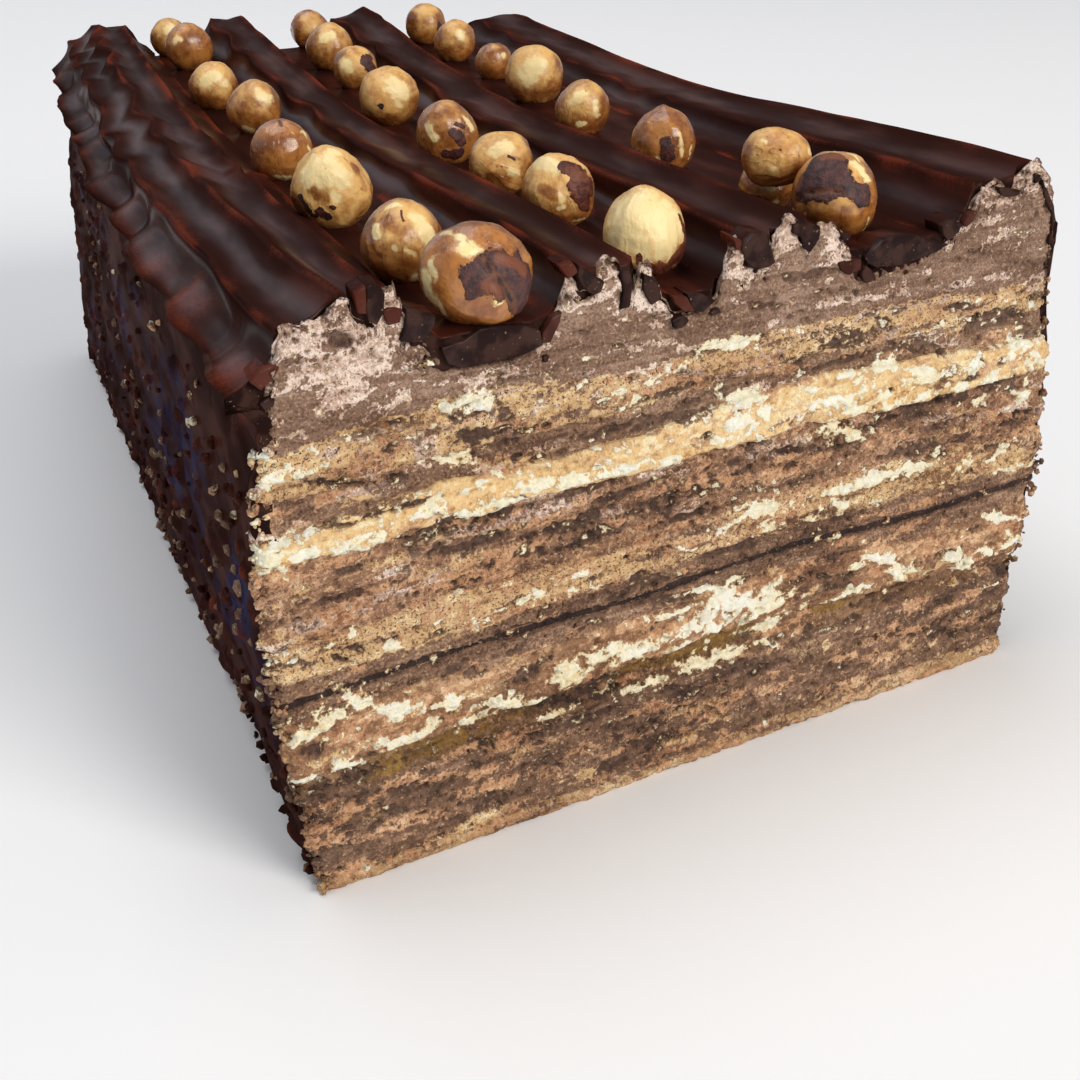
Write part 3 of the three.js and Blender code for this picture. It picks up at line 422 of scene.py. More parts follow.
# Ganache seen in the cut: how reddish it is, how far it stands out, and its outline: across, up
CHIPS = (
    (0.61, 0.3, ((9.7, 93), (11.4, 93.8), (11.3, 90), (10, 90.2))),
    (0.05, 0.5, ((11.4, 93.8), (13.4, 93.5), (14, 92.2), (13.7, 90), (12.7, 88.2), (11.5, 89),
        (11.1, 90.6))),
    (0.58, 0.3, ((13.5, 90), (15.3, 90.3), (16.6, 89.6), (16, 88), (14.3, 87.9))),
    (0.1, 0.6, ((16.9, 89.8), (19.7, 88.6), (21.3, 88.1), (21, 86.6), (19.7, 85), (18, 84.7), (15.7, 85.5),
        (16.8, 87.2))),
    (0.6, 0.1, ((-5.6, 83.6), (-3.8, 85), (-1.9, 85.5), (-1.3, 84.7), (-2.4, 83.4), (-4.2, 82.2))),
    (0.3, 0.1, ((-4.4, 80.4), (-3.2, 81), (-2.2, 80.7), (-2.4, 79.7), (-3.8, 79.4))),
    (0.15, 0.5, ((22, 83.3), (25.5, 83.7), (28, 85), (32.3, 84.8), (35, 84.3), (37.7, 83), (38.2, 80.8),
        (35, 79.9), (30, 79.7), (25.3, 79.8), (23, 80.7))),
    (0.51, 0.5, ((38, 81), (39.3, 81), (40.8, 83.6), (41.3, 85.2), (39.6, 84.6), (38.1, 82.6))),
    (0.1, 0.4, ((44, 91.6), (46, 90), (48.4, 88.4), (47.9, 87), (46.5, 86.7), (44.9, 88), (43.9, 90))),
    (0.61, 0.2, ((40.8, 91.8), (43, 92.2), (44, 90.5), (42.4, 89.7))),
    (0, 0.4, ((51, 89.9), (52.7, 89.1), (53.3, 87.5), (52.8, 83.8), (51.1, 83.7), (51.6, 86.5))),
    (0.1, 0.5, ((55, 88.5), (57.3, 87.4), (58.4, 84.4), (56.5, 83.6), (55.1, 86))),
    (0.58, 0.4, ((60.2, 84.3), (63, 83.7), (64.5, 81.2), (62.6, 81.5), (60.8, 83))),
    (0, 0.3, ((63, 84.1), (66, 83.6), (68.2, 82.3), (66, 80.8), (64.3, 81.3))),
    (0.3, 0.5, ((60.3, 80.6), (62.4, 81.1), (63.5, 80), (62, 79.1), (60.7, 79.2))),
    (0.3, 0.4, ((67.2, 80.7), (69, 81), (69.5, 80.3), (67.6, 79.9))),
    (0.05, 0.5, ((72.4, 90), (74.4, 91.7), (77, 91.4), (78.3, 88.7), (79.1, 86.6), (77.6, 86), (74.8, 86.2),
        (73.3, 88))),
    (0.61, 0.2, ((71.3, 91.3), (72.6, 91), (73, 89.2), (71.6, 89.8))),
    (0.05, 0.3, ((82.4, 91.7), (84.2, 92.1), (87.8, 90.9), (87.5, 89), (86, 87), (84.6, 87.9), (83.9, 89.8),
        (82.6, 90.4))),
    (0.3, 0.4, ((91.9, 89.3), (94, 88.7), (93.4, 87.7), (92.2, 88.1))),
    (0.47, 0.2, ((91.8, 84.5), (96.5, 84.4), (96.7, 82.5), (94, 82.1), (92.4, 83.2))),
    (0.4, 0.6, ((96.6, 82.2), (97.4, 83.3), (99.5, 81.6), (99.8, 80.4), (97.5, 80.4))),
    (0, 0.3, ((97.2, 84.6), (100.6, 87), (104, 87), (107.5, 86.6), (112, 85.1), (115, 84), (112.5, 83.1),
        (109.5, 82.5), (104, 82.1), (100, 82.5), (98, 83.3))),
    (0.05, 0.4, ((113.1, 87.5), (115.6, 88.3), (117.6, 87.1), (117, 85.9), (114.8, 84.5), (113.5, 86))),
    (0.51, 0.3, ((117.9, 87), (119, 88.6), (120.9, 88.7), (120.1, 87.1), (118.6, 86.3))),
    (0.1, 0.3, ((125.2, 92.1), (127.6, 91.7), (130, 91), (129.9, 90.1), (127, 90.2), (125.5, 91))),
    (0.3, 0.4, ((132.9, 93.4), (134.4, 93.2), (134.5, 91.9), (133.3, 91.7))),
    (0.3, 0.1, ((135, 92.6), (136.8, 90.2), (138.8, 87.2), (139.6, 84.6), (139, 83.8), (138.2, 86.2),
        (136, 89.6))),
    (0.2, 0.6, ((138.6, 82.4), (139.8, 81.2), (139, 80.2), (138.2, 81))),
    (0.1, 0.4, ((38.2, 79), (39.2, 78.9), (39, 77.9), (38.3, 78))),
)

# The photographer's place and aim, in the cake's millimetres and in radians; lens and sensor in millimetres
CAMERA_AT = (-41.15, -201.95, 155.20)
CAMERA_YAW, CAMERA_PITCH, CAMERA_ROLL = 0.36074, 0.44077, -0.0062
CAMERA_LENS, CAMERA_SENSOR = 54.56, 36

# Random order and random levels that all noise draws on
TABLE_RNG = np.random.default_rng(5)
TABLE = TABLE_RNG.permutation(256)
LEVELS = TABLE_RNG.uniform(-1, 1, 256)


def mix(a, b, t):
    """a turning into b as t goes from 0 to 1"""
    return a + (b - a) * t


def clip01(t):
    return np.clip(t, 0, 1)


def step(low, high, t):
    """0 below low, 1 above high, smooth between"""
    t = clip01((t - low) / (high - low))
    return t * t * (3 - 2 * t)


def bell(t):
    """1 at t = 0, falling to both sides"""
    return np.exp(-t * t)


def dome(t):
    """Half a circle over t from -1 to 1, and 0 outside it"""
    return np.sqrt(np.maximum(0, 1 - t**2))


def key_of(*numbers):
    """One place of the table for whole numbers, the same each time"""
    key = 0
    for number in numbers:
        key = TABLE[(key + number) & 255]
    return key


def noise(x, y, z=0.0, seed=0):
    """Smooth noise from -1 to 1 whose features are about one unit wide"""
    lows, shares = [], []
    for value in np.broadcast_arrays(x, y, z):
        low = np.floor(value)
        share = value - low
        lows.append(low.astype(int))
        shares.append(share**3 * (share * (share * 6 - 15) + 10))
    total = 0
    for corner in np.ndindex(2, 2, 2):
        weight = 1
        for share, side in zip(shares, corner):
            weight = weight * (share if side else 1 - share)
        key = key_of(seed, *(low + side for low, side in zip(lows, corner)))
        total = total + weight * LEVELS[key]
    return total


def layered(x, y, z=0.0, seed=0, octaves=3):
    """Noise with finer noise on it, from about -1 to 1"""
    total, size, amount = 0, 1, 0.6
    for octave in range(octaves):
        total = total + amount * noise(x * size, y * size, z * size, seed + octave)
        size, amount = size * 2.1, amount * 0.55
    return total


def scattered(a, b, size, seed):
    """Distance to the nearest of points scattered about size apart, over size, and its own random number"""
    a, b = np.broadcast_arrays(a / size, b / size)
    low_a, low_b = np.floor(a).astype(int), np.floor(b).astype(int)
    nearest, own = np.full(a.shape, 9.0), np.zeros(a.shape)
    for i in (-1, 0, 1):
        for j in (-1, 0, 1):
            key = key_of(seed, low_a + i, low_b + j)
            at_a = low_a + i + 0.5 + 0.45 * LEVELS[key]
            at_b = low_b + j + 0.5 + 0.45 * LEVELS[(key * 7 + 31) & 255]
            apart = np.hypot(a - at_a, b - at_b)
            closer = apart < nearest
            nearest = np.where(closer, apart, nearest)
            own = np.where(closer, LEVELS[(key * 13 + 57) & 255] * 0.5 + 0.5, own)
    return nearest, own


def through(values, t):
    """Smooth curve through values at even stations, t from 0 to 1"""
    values = np.asarray(values, float)
    last = len(values) - 1
    at = clip01(t) * last
    i = np.minimum(last - 1, np.floor(at)).astype(int)
    a, b, c, d = (values[np.clip(i + k, 0, last)] for k in (-1, 0, 1, 2))
    f = at - i
    return b + 0.5 * f * (c - a + f * (2 * a - 5 * b + 4 * c - d + f * (3 * (b - c) + d - a)))


def swell(s, phase):
    """How far a side wall swells at shares of the length"""
    shares = np.array(WALL_STATIONS)
    return np.interp(s, shares, SWELL * np.sin(SWELL_TURN * shares + phase) * np.sin(math.pi * shares))


def left_wall(z, s):
    """Where the cake's left wall, under the ganache, lies across, at a height and a share of the length"""
    front, back = (np.interp(z, WALL_HEIGHTS, offsets) for offsets in (LEFT_WALL, LEFT_WALL_BACK))
    return mix(front, back, s) + swell(s, SWELL_LEFT)


def right_wall(z, s):
    """The same for the right wall"""
    return WIDTH + np.interp(z, WALL_HEIGHTS, RIGHT_WALL) + swell(s, SWELL_RIGHT)


def rounded(x, z, s, back):
    """The far end draws in and down"""
    t = clip01(1 - (1 - s) * back / BACK_ROUND_LENGTH)
    draw = BACK_ROUND * (1 - np.sqrt(1 - t * t))
    high = clip01((z - BACK_DIP_Z[0]) / (BACK_DIP_Z[1] - BACK_DIP_Z[0]))
    return mix(x, WIDTH / 2, draw / (WIDTH / 2)), z - draw * high


def higher(a, b, soft):
    """The higher of two surfaces, with a soft hollow where they meet"""
    share = clip01(0.5 + 0.5 * (a - b) / soft)
    return mix(b, a, share) + soft * share * (1 - share)


def layer_top(k, u, s):
    """Height of the top of layer k, counted from 1 at the table; 0 is the table itself"""
    if k == 0:
        return 0 * (u + s)
    tops, wander = LAYERS[k - 1][2], LAYERS[k - 1][6]
    x = u * WIDTH
    drift = wander * layered(x / 5.5, 0 * x, 3.7 * k, seed=k, octaves=4) * np.exp(-s * 60)
    return through(tops, u) + LAYER_WAVE * np.sin(LAYER_TURN * s) + drift


def stuff_field(name, x, z):
    """1 in the middle of a patch of that stuff, a half at its edge, and less outside it"""
    field = np.zeros(np.shape(x))
    for across, up, length, height, turn in PATCHES[name]:
        c, s = math.cos(math.radians(turn)), math.sin(math.radians(turn))
        dx, dz = x - across, z - up
        reach = ((dx * c + dz * s) / length) ** 2 + ((dz * c - dx * s) / height) ** 2
        field = np.maximum(field, 1 / (1 + reach))
    return field


def ragged(x, z):
    """How much the edges of patches wander, in the units of their fields"""
    coarse, middling = noise(x / 3.2, z / 2.2, seed=31), noise(x / 1.3, z / 1.0, seed=32)
    return 0.26 * coarse + 0.3 * middling + 0.24 * noise(x / 0.62, z / 0.55, seed=33)


# Streaks of other crumb that run through each layer: kind and how much of it
STREAKS = {
    "base_crumb": (("cocoa", 0.08), ("orange", 0.1)),
    "sponge_lower": (("orange", 0.06), ("umber", -0.04), ("tan", -0.16)),
    "caramel_jelly": (("orange", 0.02), ("umber", 0.0)),
    "cream_broken": (("orange", 0.12), ("umber", -0.1), ("tan", 0.0)),
    "cocoa_cream_lower": (("orange", -0.06), ("umber", -0.06)),
    "chocolate_seam": (),
    "cocoa_cream_middle": (("orange", -0.02), ("umber", -0.06)),
    "sponge_tan_middle": (("orange", 0.1), ("cocoa", 0.2), ("ivory", -0.16), ("umber", -0.16)),
    "sponge_pink": (("orange", 0.12), ("tan", -0.1), ("umber", -0.03), ("blush", -0.06)),
    "cream_yellow": (("ivory", 0.02), ("tan", 0.12), ("orange", -0.04)),
    "cocoa_cream_upper": (("orange", -0.02), ("umber", -0.08), ("blush", -0.12)),
    "sponge_tan_upper": (
        ("orange", 0.12), ("cocoa", 0.08), ("ivory", -0.2), ("umber", -0.14), ("blush", -0.08),
    ),
    "mousse_top": (("blush", -0.1), ("umber", -0.18)),
}
STREAK_LEVEL = 0.34  # field of a streak of amount 0, and how much it varies along the streak


def stuff_fields(x, z, node, under=None, over=None, mingle=0.8):
    """The fields of all patches, with the neighbours' crumb mingled in near them: (kind, distance to it)"""
    fields = {name: stuff_field(name, x, z) for name in STUFFS}
    for kind, apart in (pair for pair in (under, over) if pair):
        fields[kind] = np.maximum(fields[kind], 0.66 * bell(np.maximum(apart, 0) / mingle))
    for k, (kind, amount) in enumerate(STREAKS[node]):
        streak = STREAK_LEVEL + amount + STREAK_LEVEL * noise(x / 6.5, z / 1.7, seed=180 + 7 * k)
        streak = streak + 0.2 * noise(x / 14, z / 5, seed=230 + k)
        fields[kind] = np.maximum(fields[kind], streak)
    wander = ragged(x, z)
    return {name: field + wander for name, field in fields.items()}


def crumb_relief(x, z, rough, smear, seed):
    """How far crumb stands out of the cut: lumps, torn pits and the knife's drag marks"""
    lumps = layered(x / 2.6, z / 1.9, seed=seed, octaves=4)
    pit, own = scattered(x, z, 1.7, seed)
    fine_pit, fine_own = scattered(x, z, 0.8, seed + 9)
    holes = np.where(own > 0.72, 0.9, 0) * step(0.5, 0.1, pit)
    fine_holes = np.where(fine_own > 0.6, 0.45, 0) * step(0.5, 0.1, fine_pit)
    drag = layered(x / 9, z / 1.1, seed=seed + 4, octaves=3)
    return rough * ((1 - smear) * (0.7 * lumps - holes - fine_holes) + smear * 0.8 * drag)


def cut_relief(x, z, fields, rough, smear, seed):
    """Relief of the cut face with its patches: cream stands out in smooth lumps, jelly and holes lie back"""
    share = {name: step(0.42, 0.62, field) for name, field in fields.items()}
    plain = crumb_relief(x, z, rough, smear, seed)
    relief = plain * (1 - 0.5 * share["ivory"]) * (1 - 0.6 * share["amber"]) * (1 + 0.5 * share["blush"])
    cream = 0.4 + 0.5 * layered(x / 1.9, z / 1.4, seed=7, octaves=3)
    relief = relief + share["ivory"] * cream - 0.6 * share["amber"]
    return relief - 0.55 * share["umber"] + 0.25 * share["blush"]


def rope_height(rope, x, s):
    """Height of a rope's mousse over points across it, at one share of the length"""
    theta = np.radians(np.linspace(rope["crests"][0], rope["crests"][-1], 160))
    middle, reach, rise = (float(through(rope[size], s)) for size in ("across", "reach", "rise"))
    across = np.maximum.accumulate(middle + reach * np.cos(theta))
    height = rope["foot"] + rise * (1 + rope["lean"] * np.cos(theta)) * np.sin(theta)
    return np.interp(x, across, height, left=0, right=0)


def to_part(points):
    """Cake millimetres to metres in the part's frame"""
    return (points + np.array([*CORNER, 0])) * MM


class Piece:
    """A mesh made in shares by bmesh and then put in its place, with numbers per point for its finish"""

    def __init__(self, name, bm):
        bmesh.ops.recalc_face_normals(bm, faces=bm.faces)
        self.mesh = bpy.data.meshes.new(name)
        bm.to_mesh(self.mesh)
        bm.free()
        self.mesh.polygons.foreach_set("use_smooth", np.ones(len(self.mesh.polygons), bool))
        self.object = bpy.data.objects.new(name, self.mesh)
        bpy.context.collection.objects.link(self.object)
        flat = np.empty(3 * len(self.mesh.vertices))
        self.mesh.vertices.foreach_get("co", flat)
        self.shares = flat.reshape(-1, 3).round(6)

    def place(self, points):
        """Moves each point to its place in the cake"""
        self.mesh.vertices.foreach_set("co", to_part(points).ravel())
        self.mesh.update()

    def number(self, name, values):
        """One number per point, or one for all, that the finish reads under that name"""
        values = np.broadcast_to(values, len(self.mesh.vertices)).astype(np.float32)
        self.mesh.attributes.new(name, "FLOAT", "POINT").data.foreach_set("value", values)

    def numbers(self, fields):
        for name, values in fields.items():
            self.number(name, values)

    def done(self, slot, *nodes):
        """Faces outwards, the slot's finish, and what it shows: the nodes of the part that it stands for"""
        bm = bmesh.new()
        bm.from_mesh(self.mesh)
        bmesh.ops.remove_doubles(bm, verts=bm.verts, dist=1e-7)
        if bm.calc_volume(signed=True) < 0:  # a wall whose shares run the other way round
            bmesh.ops.reverse_faces(bm, faces=bm.faces)
        bm.to_mesh(self.mesh)
        bm.free()
        self.mesh.materials.append(finish_of(slot))
        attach(self.object, "root")
        if nodes:
            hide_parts(*nodes)


def picked(parts, kind):
    return [part for part in parts if isinstance(part, kind)]


def ringed_block(columns, rows, stand, axis, levels):
    """A block in shares: a fine grid, and rings at levels of an axis behind its edge, closed at the last"""
    bm = bmesh.new()
    bmesh.ops.create_grid(bm, x_segments=columns, y_segments=rows, size=0.5, matrix=stand)
    edges = [edge for edge in bm.edges if edge.is_boundary]
    for level in levels:
        made = bmesh.ops.extrude_edge_only(bm, edges=edges)["geom"]
        for vert in picked(made, bmesh.types.BMVert):
            vert.co[axis] = level
        edges = [edge for edge in picked(made, bmesh.types.BMEdge) if edge.is_boundary]
    bmesh.ops.holes_fill(bm, edges=edges, sides=0)
    return bm


def cut_block(columns, rows, stations):
    """A block with a fine grid for its cut face and rings at the stations behind it"""
    stand = Matrix.Translation((0.5, 0, 0.5)) @ Matrix.Rotation(math.pi / 2, 4, "X")
    return ringed_block(columns, rows, stand, 1, stations)


def sheet_block(columns, rows, levels):
    """A block with a fine grid on top and rings at the levels under its edge"""
    return ringed_block(columns, rows, Matrix.Translation((0.5, 0.5, 0)), 2, levels)


def slab_block(columns, rows):
    """A thin block in shares with a fine grid on both sides: Z is 1 outside and 0 inside"""
    bm = bmesh.new()
    stand = Matrix.Translation((0.5, 0.5, 1))
    bmesh.ops.create_grid(bm, x_segments=columns, y_segments=rows, size=0.5, matrix=stand)
    outer = [edge for edge in bm.edges if edge.is_boundary]
    made = bmesh.ops.duplicate(bm, geom=bm.verts[:] + bm.edges[:] + bm.faces[:])["geom"]
    bmesh.ops.translate(bm, verts=picked(made, bmesh.types.BMVert), vec=(0, 0, -1))
    inner = [edge for edge in picked(made, bmesh.types.BMEdge) if edge.is_boundary]
    bmesh.ops.bridge_loops(bm, edges=outer + inner)
    return bm


def srgb(*levels):
    """A colour as seen, from 0 to 255, as the light it is"""
    return tuple(((v / 255 + 0.055) / 1.055) ** 2.4 if v > 10 else v / 3294 for v in levels) + (1,)


class Shade:
    """A number that varies over a surface; plain arithmetic on it adds its nodes"""

    def __init__(self, finish, socket):
        self.finish, self.socket = finish, socket

    def __add__(self, other):
        return self.finish.math("ADD", self, other)

    def __sub__(self, other):
        return self.finish.math("SUBTRACT", self, other)

    def __rsub__(self, other):
        return self.finish.math("SUBTRACT", other, self)

    def __mul__(self, other):
        return self.finish.math("MULTIPLY", self, other)

    __radd__, __rmul__ = __add__, __mul__

    def step(self, low, high):
        """0 below low, 1 above high, smooth between"""
        node = self.finish.node(
            "ShaderNodeMapRange",
            {"interpolation_type": "SMOOTHSTEP"},
            {"Value": self, "From Min": low, "From Max": high, "To Min": 0, "To Max": 1},
        )
        return Shade(self.finish, node.outputs["Result"])


class Finish:
    """One material: a Principled surface, and methods that add what varies over it"""

    def __init__(self, name, constants):
        self.material = bpy.data.materials.new(name)
        self.material.use_nodes = True
        self.tree = self.material.node_tree
        self.tree.nodes.clear()
        self.surface = self.node("ShaderNodeBsdfPrincipled", {}, constants)
        self.node("ShaderNodeOutputMaterial", {}, {"Surface": self.surface.outputs["BSDF"]})
        self.place = self.node("ShaderNodeTexCoord", {}, {}).outputs["Object"]

    def node(self, kind, settings, sockets):
        """A node of that type, its settings set first, then its sockets' values or links"""
        node = self.tree.nodes.new(kind)
        for setting, value in settings.items():
            setattr(node, setting, value)
        for name, value in sockets.items():
            self.fill(next(s for s in node.inputs if name in (s.identifier, s.name)), value)
        return node

    def fill(self, socket, value):
        """Links a varying value to a socket, or sets a plain one"""
        if isinstance(value, Shade):
            value = value.socket
        if isinstance(value, bpy.types.NodeSocket):
            self.tree.links.new(value, socket)
        else:
            socket.default_value = value

    def math(self, operation, a, b):
        node = self.node("ShaderNodeMath", {"operation": operation}, {})
        for socket, value in zip(node.inputs, (a, b)):
            self.fill(socket, value)
        return Shade(self, node.outputs[0])

    def field(self, name):
        """The number that the piece carries under that name"""
        return Shade(self, self.node("ShaderNodeAttribute", {"attribute_name": name}, {}).outputs["Fac"])

    def grain(self, size, detail=2, stretch=(1, 1, 1), rough=0.5):
        """Noise from 0 to 1 with features about that many millimetres wide"""
        place = self.place
        if stretch != (1, 1, 1):
            scale = {"Vector": place, "Scale": tuple(1 / s for s in stretch)}
            place = self.node("ShaderNodeMapping", {}, scale).outputs["Vector"]
        sockets = {"Vector": place, "Scale": 1 / (size * MM), "Detail": detail, "Roughness": rough}
        return Shade(self, self.node("ShaderNodeTexNoise", {}, sockets).outputs["Fac"])

    def blend(self, a, b, share):
        """Colour a turning into colour b"""
        settings = {"data_type": "RGBA", "clamp_factor": True}
        node = self.node("ShaderNodeMix", settings, {"Factor_Float": share, "A_Color": a, "B_Color": b})
        return next(socket for socket in node.outputs if socket.identifier == "Result_Color")

    def bump(self, height, depth):
        """Fine relief of that many millimetres"""
        node = self.node("ShaderNodeBump", {}, {"Height": height, "Distance": depth * MM, "Strength": 1.0})
        self.put("Normal", node.outputs["Normal"])

    def put(self, name, value):
        self.fill(self.surface.inputs[name], value)


# Colours as seen: dark, middle and light crumb of each layer, and of each stuff in patches
CRUMBS = {
    "base_crumb": ((136, 96, 64), (190, 152, 108), (228, 200, 156)),
    "sponge_brown": ((78, 54, 42), (120, 90, 70), (162, 126, 102)),
    "caramel": ((88, 59, 40), (125, 92, 65), (162, 126, 94)),
    "cream_ivory": ((108, 73, 52), (156, 115, 84), (202, 162, 124)),
    "cocoa_cream": ((94, 65, 49), (134, 102, 80), (178, 144, 118)),
    "chocolate_seam": ((36, 25, 23), (54, 38, 34), (78, 56, 46)),
    "sponge_tan": ((134, 94, 62), (220, 180, 130), (248, 222, 176)),
    "sponge_pink": ((92, 62, 46), (148, 110, 84), (204, 160, 126)),
    "cream_yellow": ((192, 140, 88), (242, 204, 146), (254, 238, 196)),
    "mousse": ((104, 75, 58), (138, 107, 88), (170, 140, 120)),
}
PATCH_CRUMBS = {
    "cocoa": ((92, 62, 46), (130, 98, 77), (172, 138, 112)),
    "tan": ((146, 102, 66), (224, 186, 134), (250, 226, 182)),
    "orange": ((150, 100, 68), (206, 156, 116), (238, 198, 158)),
    "blush": ((120, 88, 74), (206, 174, 154), (250, 228, 212)),
    "amber": ((92, 62, 28), (142, 104, 48), (182, 142, 78)),
    # Umber is partly darker crumb and partly painted shade of the cut's hollows
    "umber": ((60, 42, 34), (98, 73, 60), (132, 104, 86)),
    "ivory": ((240, 214, 164), (253, 245, 214), (255, 252, 238)),
}
RIMS = {"tan": (204, 158, 112), "ivory": (236, 200, 144), "umber": (122, 92, 72), "orange": (184, 138, 104)}
TRANSLUCENT = {"Subsurface Weight": 0.1, "Subsurface Scale": 0.002}
# The last of these is painted shade, put in the cut's pits and holes
DARK_SPECK, PALE_SPECK, PAINTED_PIT_SHADE = (86, 58, 42), (222, 190, 156), (50, 33, 26)
# How many dark and pale specks show in the blush of each layer, where it isn't 0.8
SPECKLES = {
    "sponge_tan": 1.2, "sponge_pink": 1.0, "sponge_brown": 0.9, "mousse": 0.6, "cocoa_cream": 0.5,
    "chocolate_seam": 0, "cream_yellow": 0.1, "cream_ivory": 0.6, "caramel": 0.6,
}
# The colour named cool is a painted navy-blue reflection, which the left wall takes
GANACHE_COLOURS = {
    "ruddy": (68, 31, 22), "cool": (33, 36, 68), "cut": (60, 40, 35), "cut_dark": (36, 22, 20),
    "cut_speck": (150, 118, 100), "cut_thin": (104, 50, 36),
}
KERNEL_COLOURS = {
    "flesh_dark": (206, 146, 80), "caramel": (186, 122, 60), "caramel_dark": (134, 76, 34),
    "vein": (150, 92, 42), "bare": (253, 226, 164), "bare_dark": (240, 198, 130),
    "husk": (82, 44, 40), "husk_dark": (46, 24, 28),
    "husk_red": (128, 60, 36), "husk_red_dark": (70, 28, 20), "husk_caramel": (132, 70, 34),
    # fold and crease are painted shade, darkening the kernel's creases
    "fold": (116, 66, 34), "crease": (34, 16, 14),
}


def seen_colours(table):
    return {name: srgb(*levels) for name, levels in table.items()}


def cut_finish(name, constants, speckle):
    """Anything that shows in the cut: speckled crumb or cream, with patches of other stuff on it and painted
    shade in its pits
    """
    finish = Finish(name, {"Roughness": 0.75, "Specular IOR Level": 0.3, **constants})
    fine = finish.grain(0.45, 2, rough=0.6)
    crumbs = finish.grain(1.4, 5, rough=0.8)
    drag = finish.grain(1.0, 3, stretch=(6, 6, 1))
    tone = finish.grain(9, 3, stretch=(2.5, 2.5, 1))
    light = crumbs * 0.75 + drag * 0.25
    broad = (tone - 0.5) * 0.5

    def crumb(colours, push=0.0, dusty=False):
        dark, middle, pale = (srgb(*colour) for colour in colours)
        level = (fine * 0.6 + drag * 0.4 if dusty else light) + broad + push
        body = finish.blend(dark, middle, level.step(0.37, 0.49))
        return finish.blend(body, pale, level.step(0.51, 0.62))

    colour = crumb(CRUMBS[name], dusty=name in ("mousse", "cocoa_cream"))
    pepper = finish.grain(0.42, 2, rough=0.65) + broad * 0.3
    pepper = pepper.step(0.68 - 0.1 * speckle, 0.76 - 0.1 * speckle)
    salt = finish.grain(0.6, 2, stretch=(1.5, 1.5, 1), rough=0.65)
    salt = salt.step(0.64 - 0.06 * speckle, 0.74 - 0.06 * speckle)
    edge = (fine - 0.5) * 0.7 + (crumbs - 0.5) * 0.3
    moist = 0
    for stuff, colours in PATCH_CRUMBS.items():
        field = finish.field(stuff) + edge
        if stuff in RIMS:
            colour = finish.blend(colour, srgb(*RIMS[stuff]), field.step(0.34, 0.5) * 0.6)
        mask = field.step(0.48, 0.54) if stuff in ("ivory", "amber") else field.step(0.43, 0.6)
        push = 0.03 if stuff in ("ivory", "blush") else 0
        colour = finish.blend(colour, crumb(colours, push, stuff == "blush"), mask)
        if stuff == "blush":
            colour = finish.blend(colour, srgb(*DARK_SPECK), pepper * min(1.0, 0.5 + 0.4 * speckle))
            colour = finish.blend(colour, srgb(*PALE_SPECK), salt * min(1.0, 0.4 + 0.3 * speckle))
        if stuff == "amber":
            moist = mask
    # Painted shade: the cut darkens towards the pit colour where its relief sinks
    painted_pit_shade = finish.field("relief")
    colour = finish.blend(colour, srgb(*PAINTED_PIT_SHADE), painted_pit_shade.step(0.66, 1.15) * 0.6)
    finish.put("Base Color", colour)
    finish.put("Roughness", 0.78 - moist * 0.5)
    finish.bump(crumbs * 0.65 + fine * 0.35, 0.9)
    return finish.material


def ganache_finish(colour, crest):
    """Dark ganache: reddish where it is thin over a crest, duller where it was cut, with a painted blue
    reflection where its cool number is high
    """
    finish = Finish("ganache", {"Specular IOR Level": 0, "Roughness": 0.5, "Coat Roughness": 0.22})
    tone = seen_colours(GANACHE_COLOURS)
    cloud = finish.grain(7, 3, stretch=(1, 4, 1))
    fine = finish.grain(0.6, 3)
    thin = finish.field("crest")
    body = finish.blend(tuple(colour) + (1,), tone["ruddy"], cloud.step(0.42, 0.7))
    # Painted blue reflection: the cool number blends in the navy colour on the left wall
    painted_navy_reflection = finish.field("cool") * (cloud + (fine - 0.5) * 0.8).step(0.3, 0.6)
    body = finish.blend(body, tone["cool"], painted_navy_reflection)
    reddened = (thin + (fine - 0.5) * 0.9 + (cloud - 0.5) * 1.1).step(0.35, 1.25)
    body = finish.blend(body, tuple(crest) + (1,), reddened)
    cut = finish.field("cut")
    section = finish.blend(tone["cut"], tone["cut_dark"], finish.grain(3, 3).step(0.4, 0.6))
    section = finish.blend(section, tone["cut_speck"], finish.grain(0.5, 2).step(0.68, 0.76) * 0.8)
    section = finish.blend(section, tone["cut_thin"], thin.step(0.3, 0.9))
    finish.put("Base Color", finish.blend(body, section, cut.step(0.3, 0.7)))
    finish.put("Coat Weight", finish.field("gloss") * (0.16 + cloud.step(0.35, 0.7) * 0.24))
    finish.bump(fine * 0.2 + finish.grain(3.2, 1, stretch=(1, 5, 1)) * 0.8, 0.12)
    return finish.material


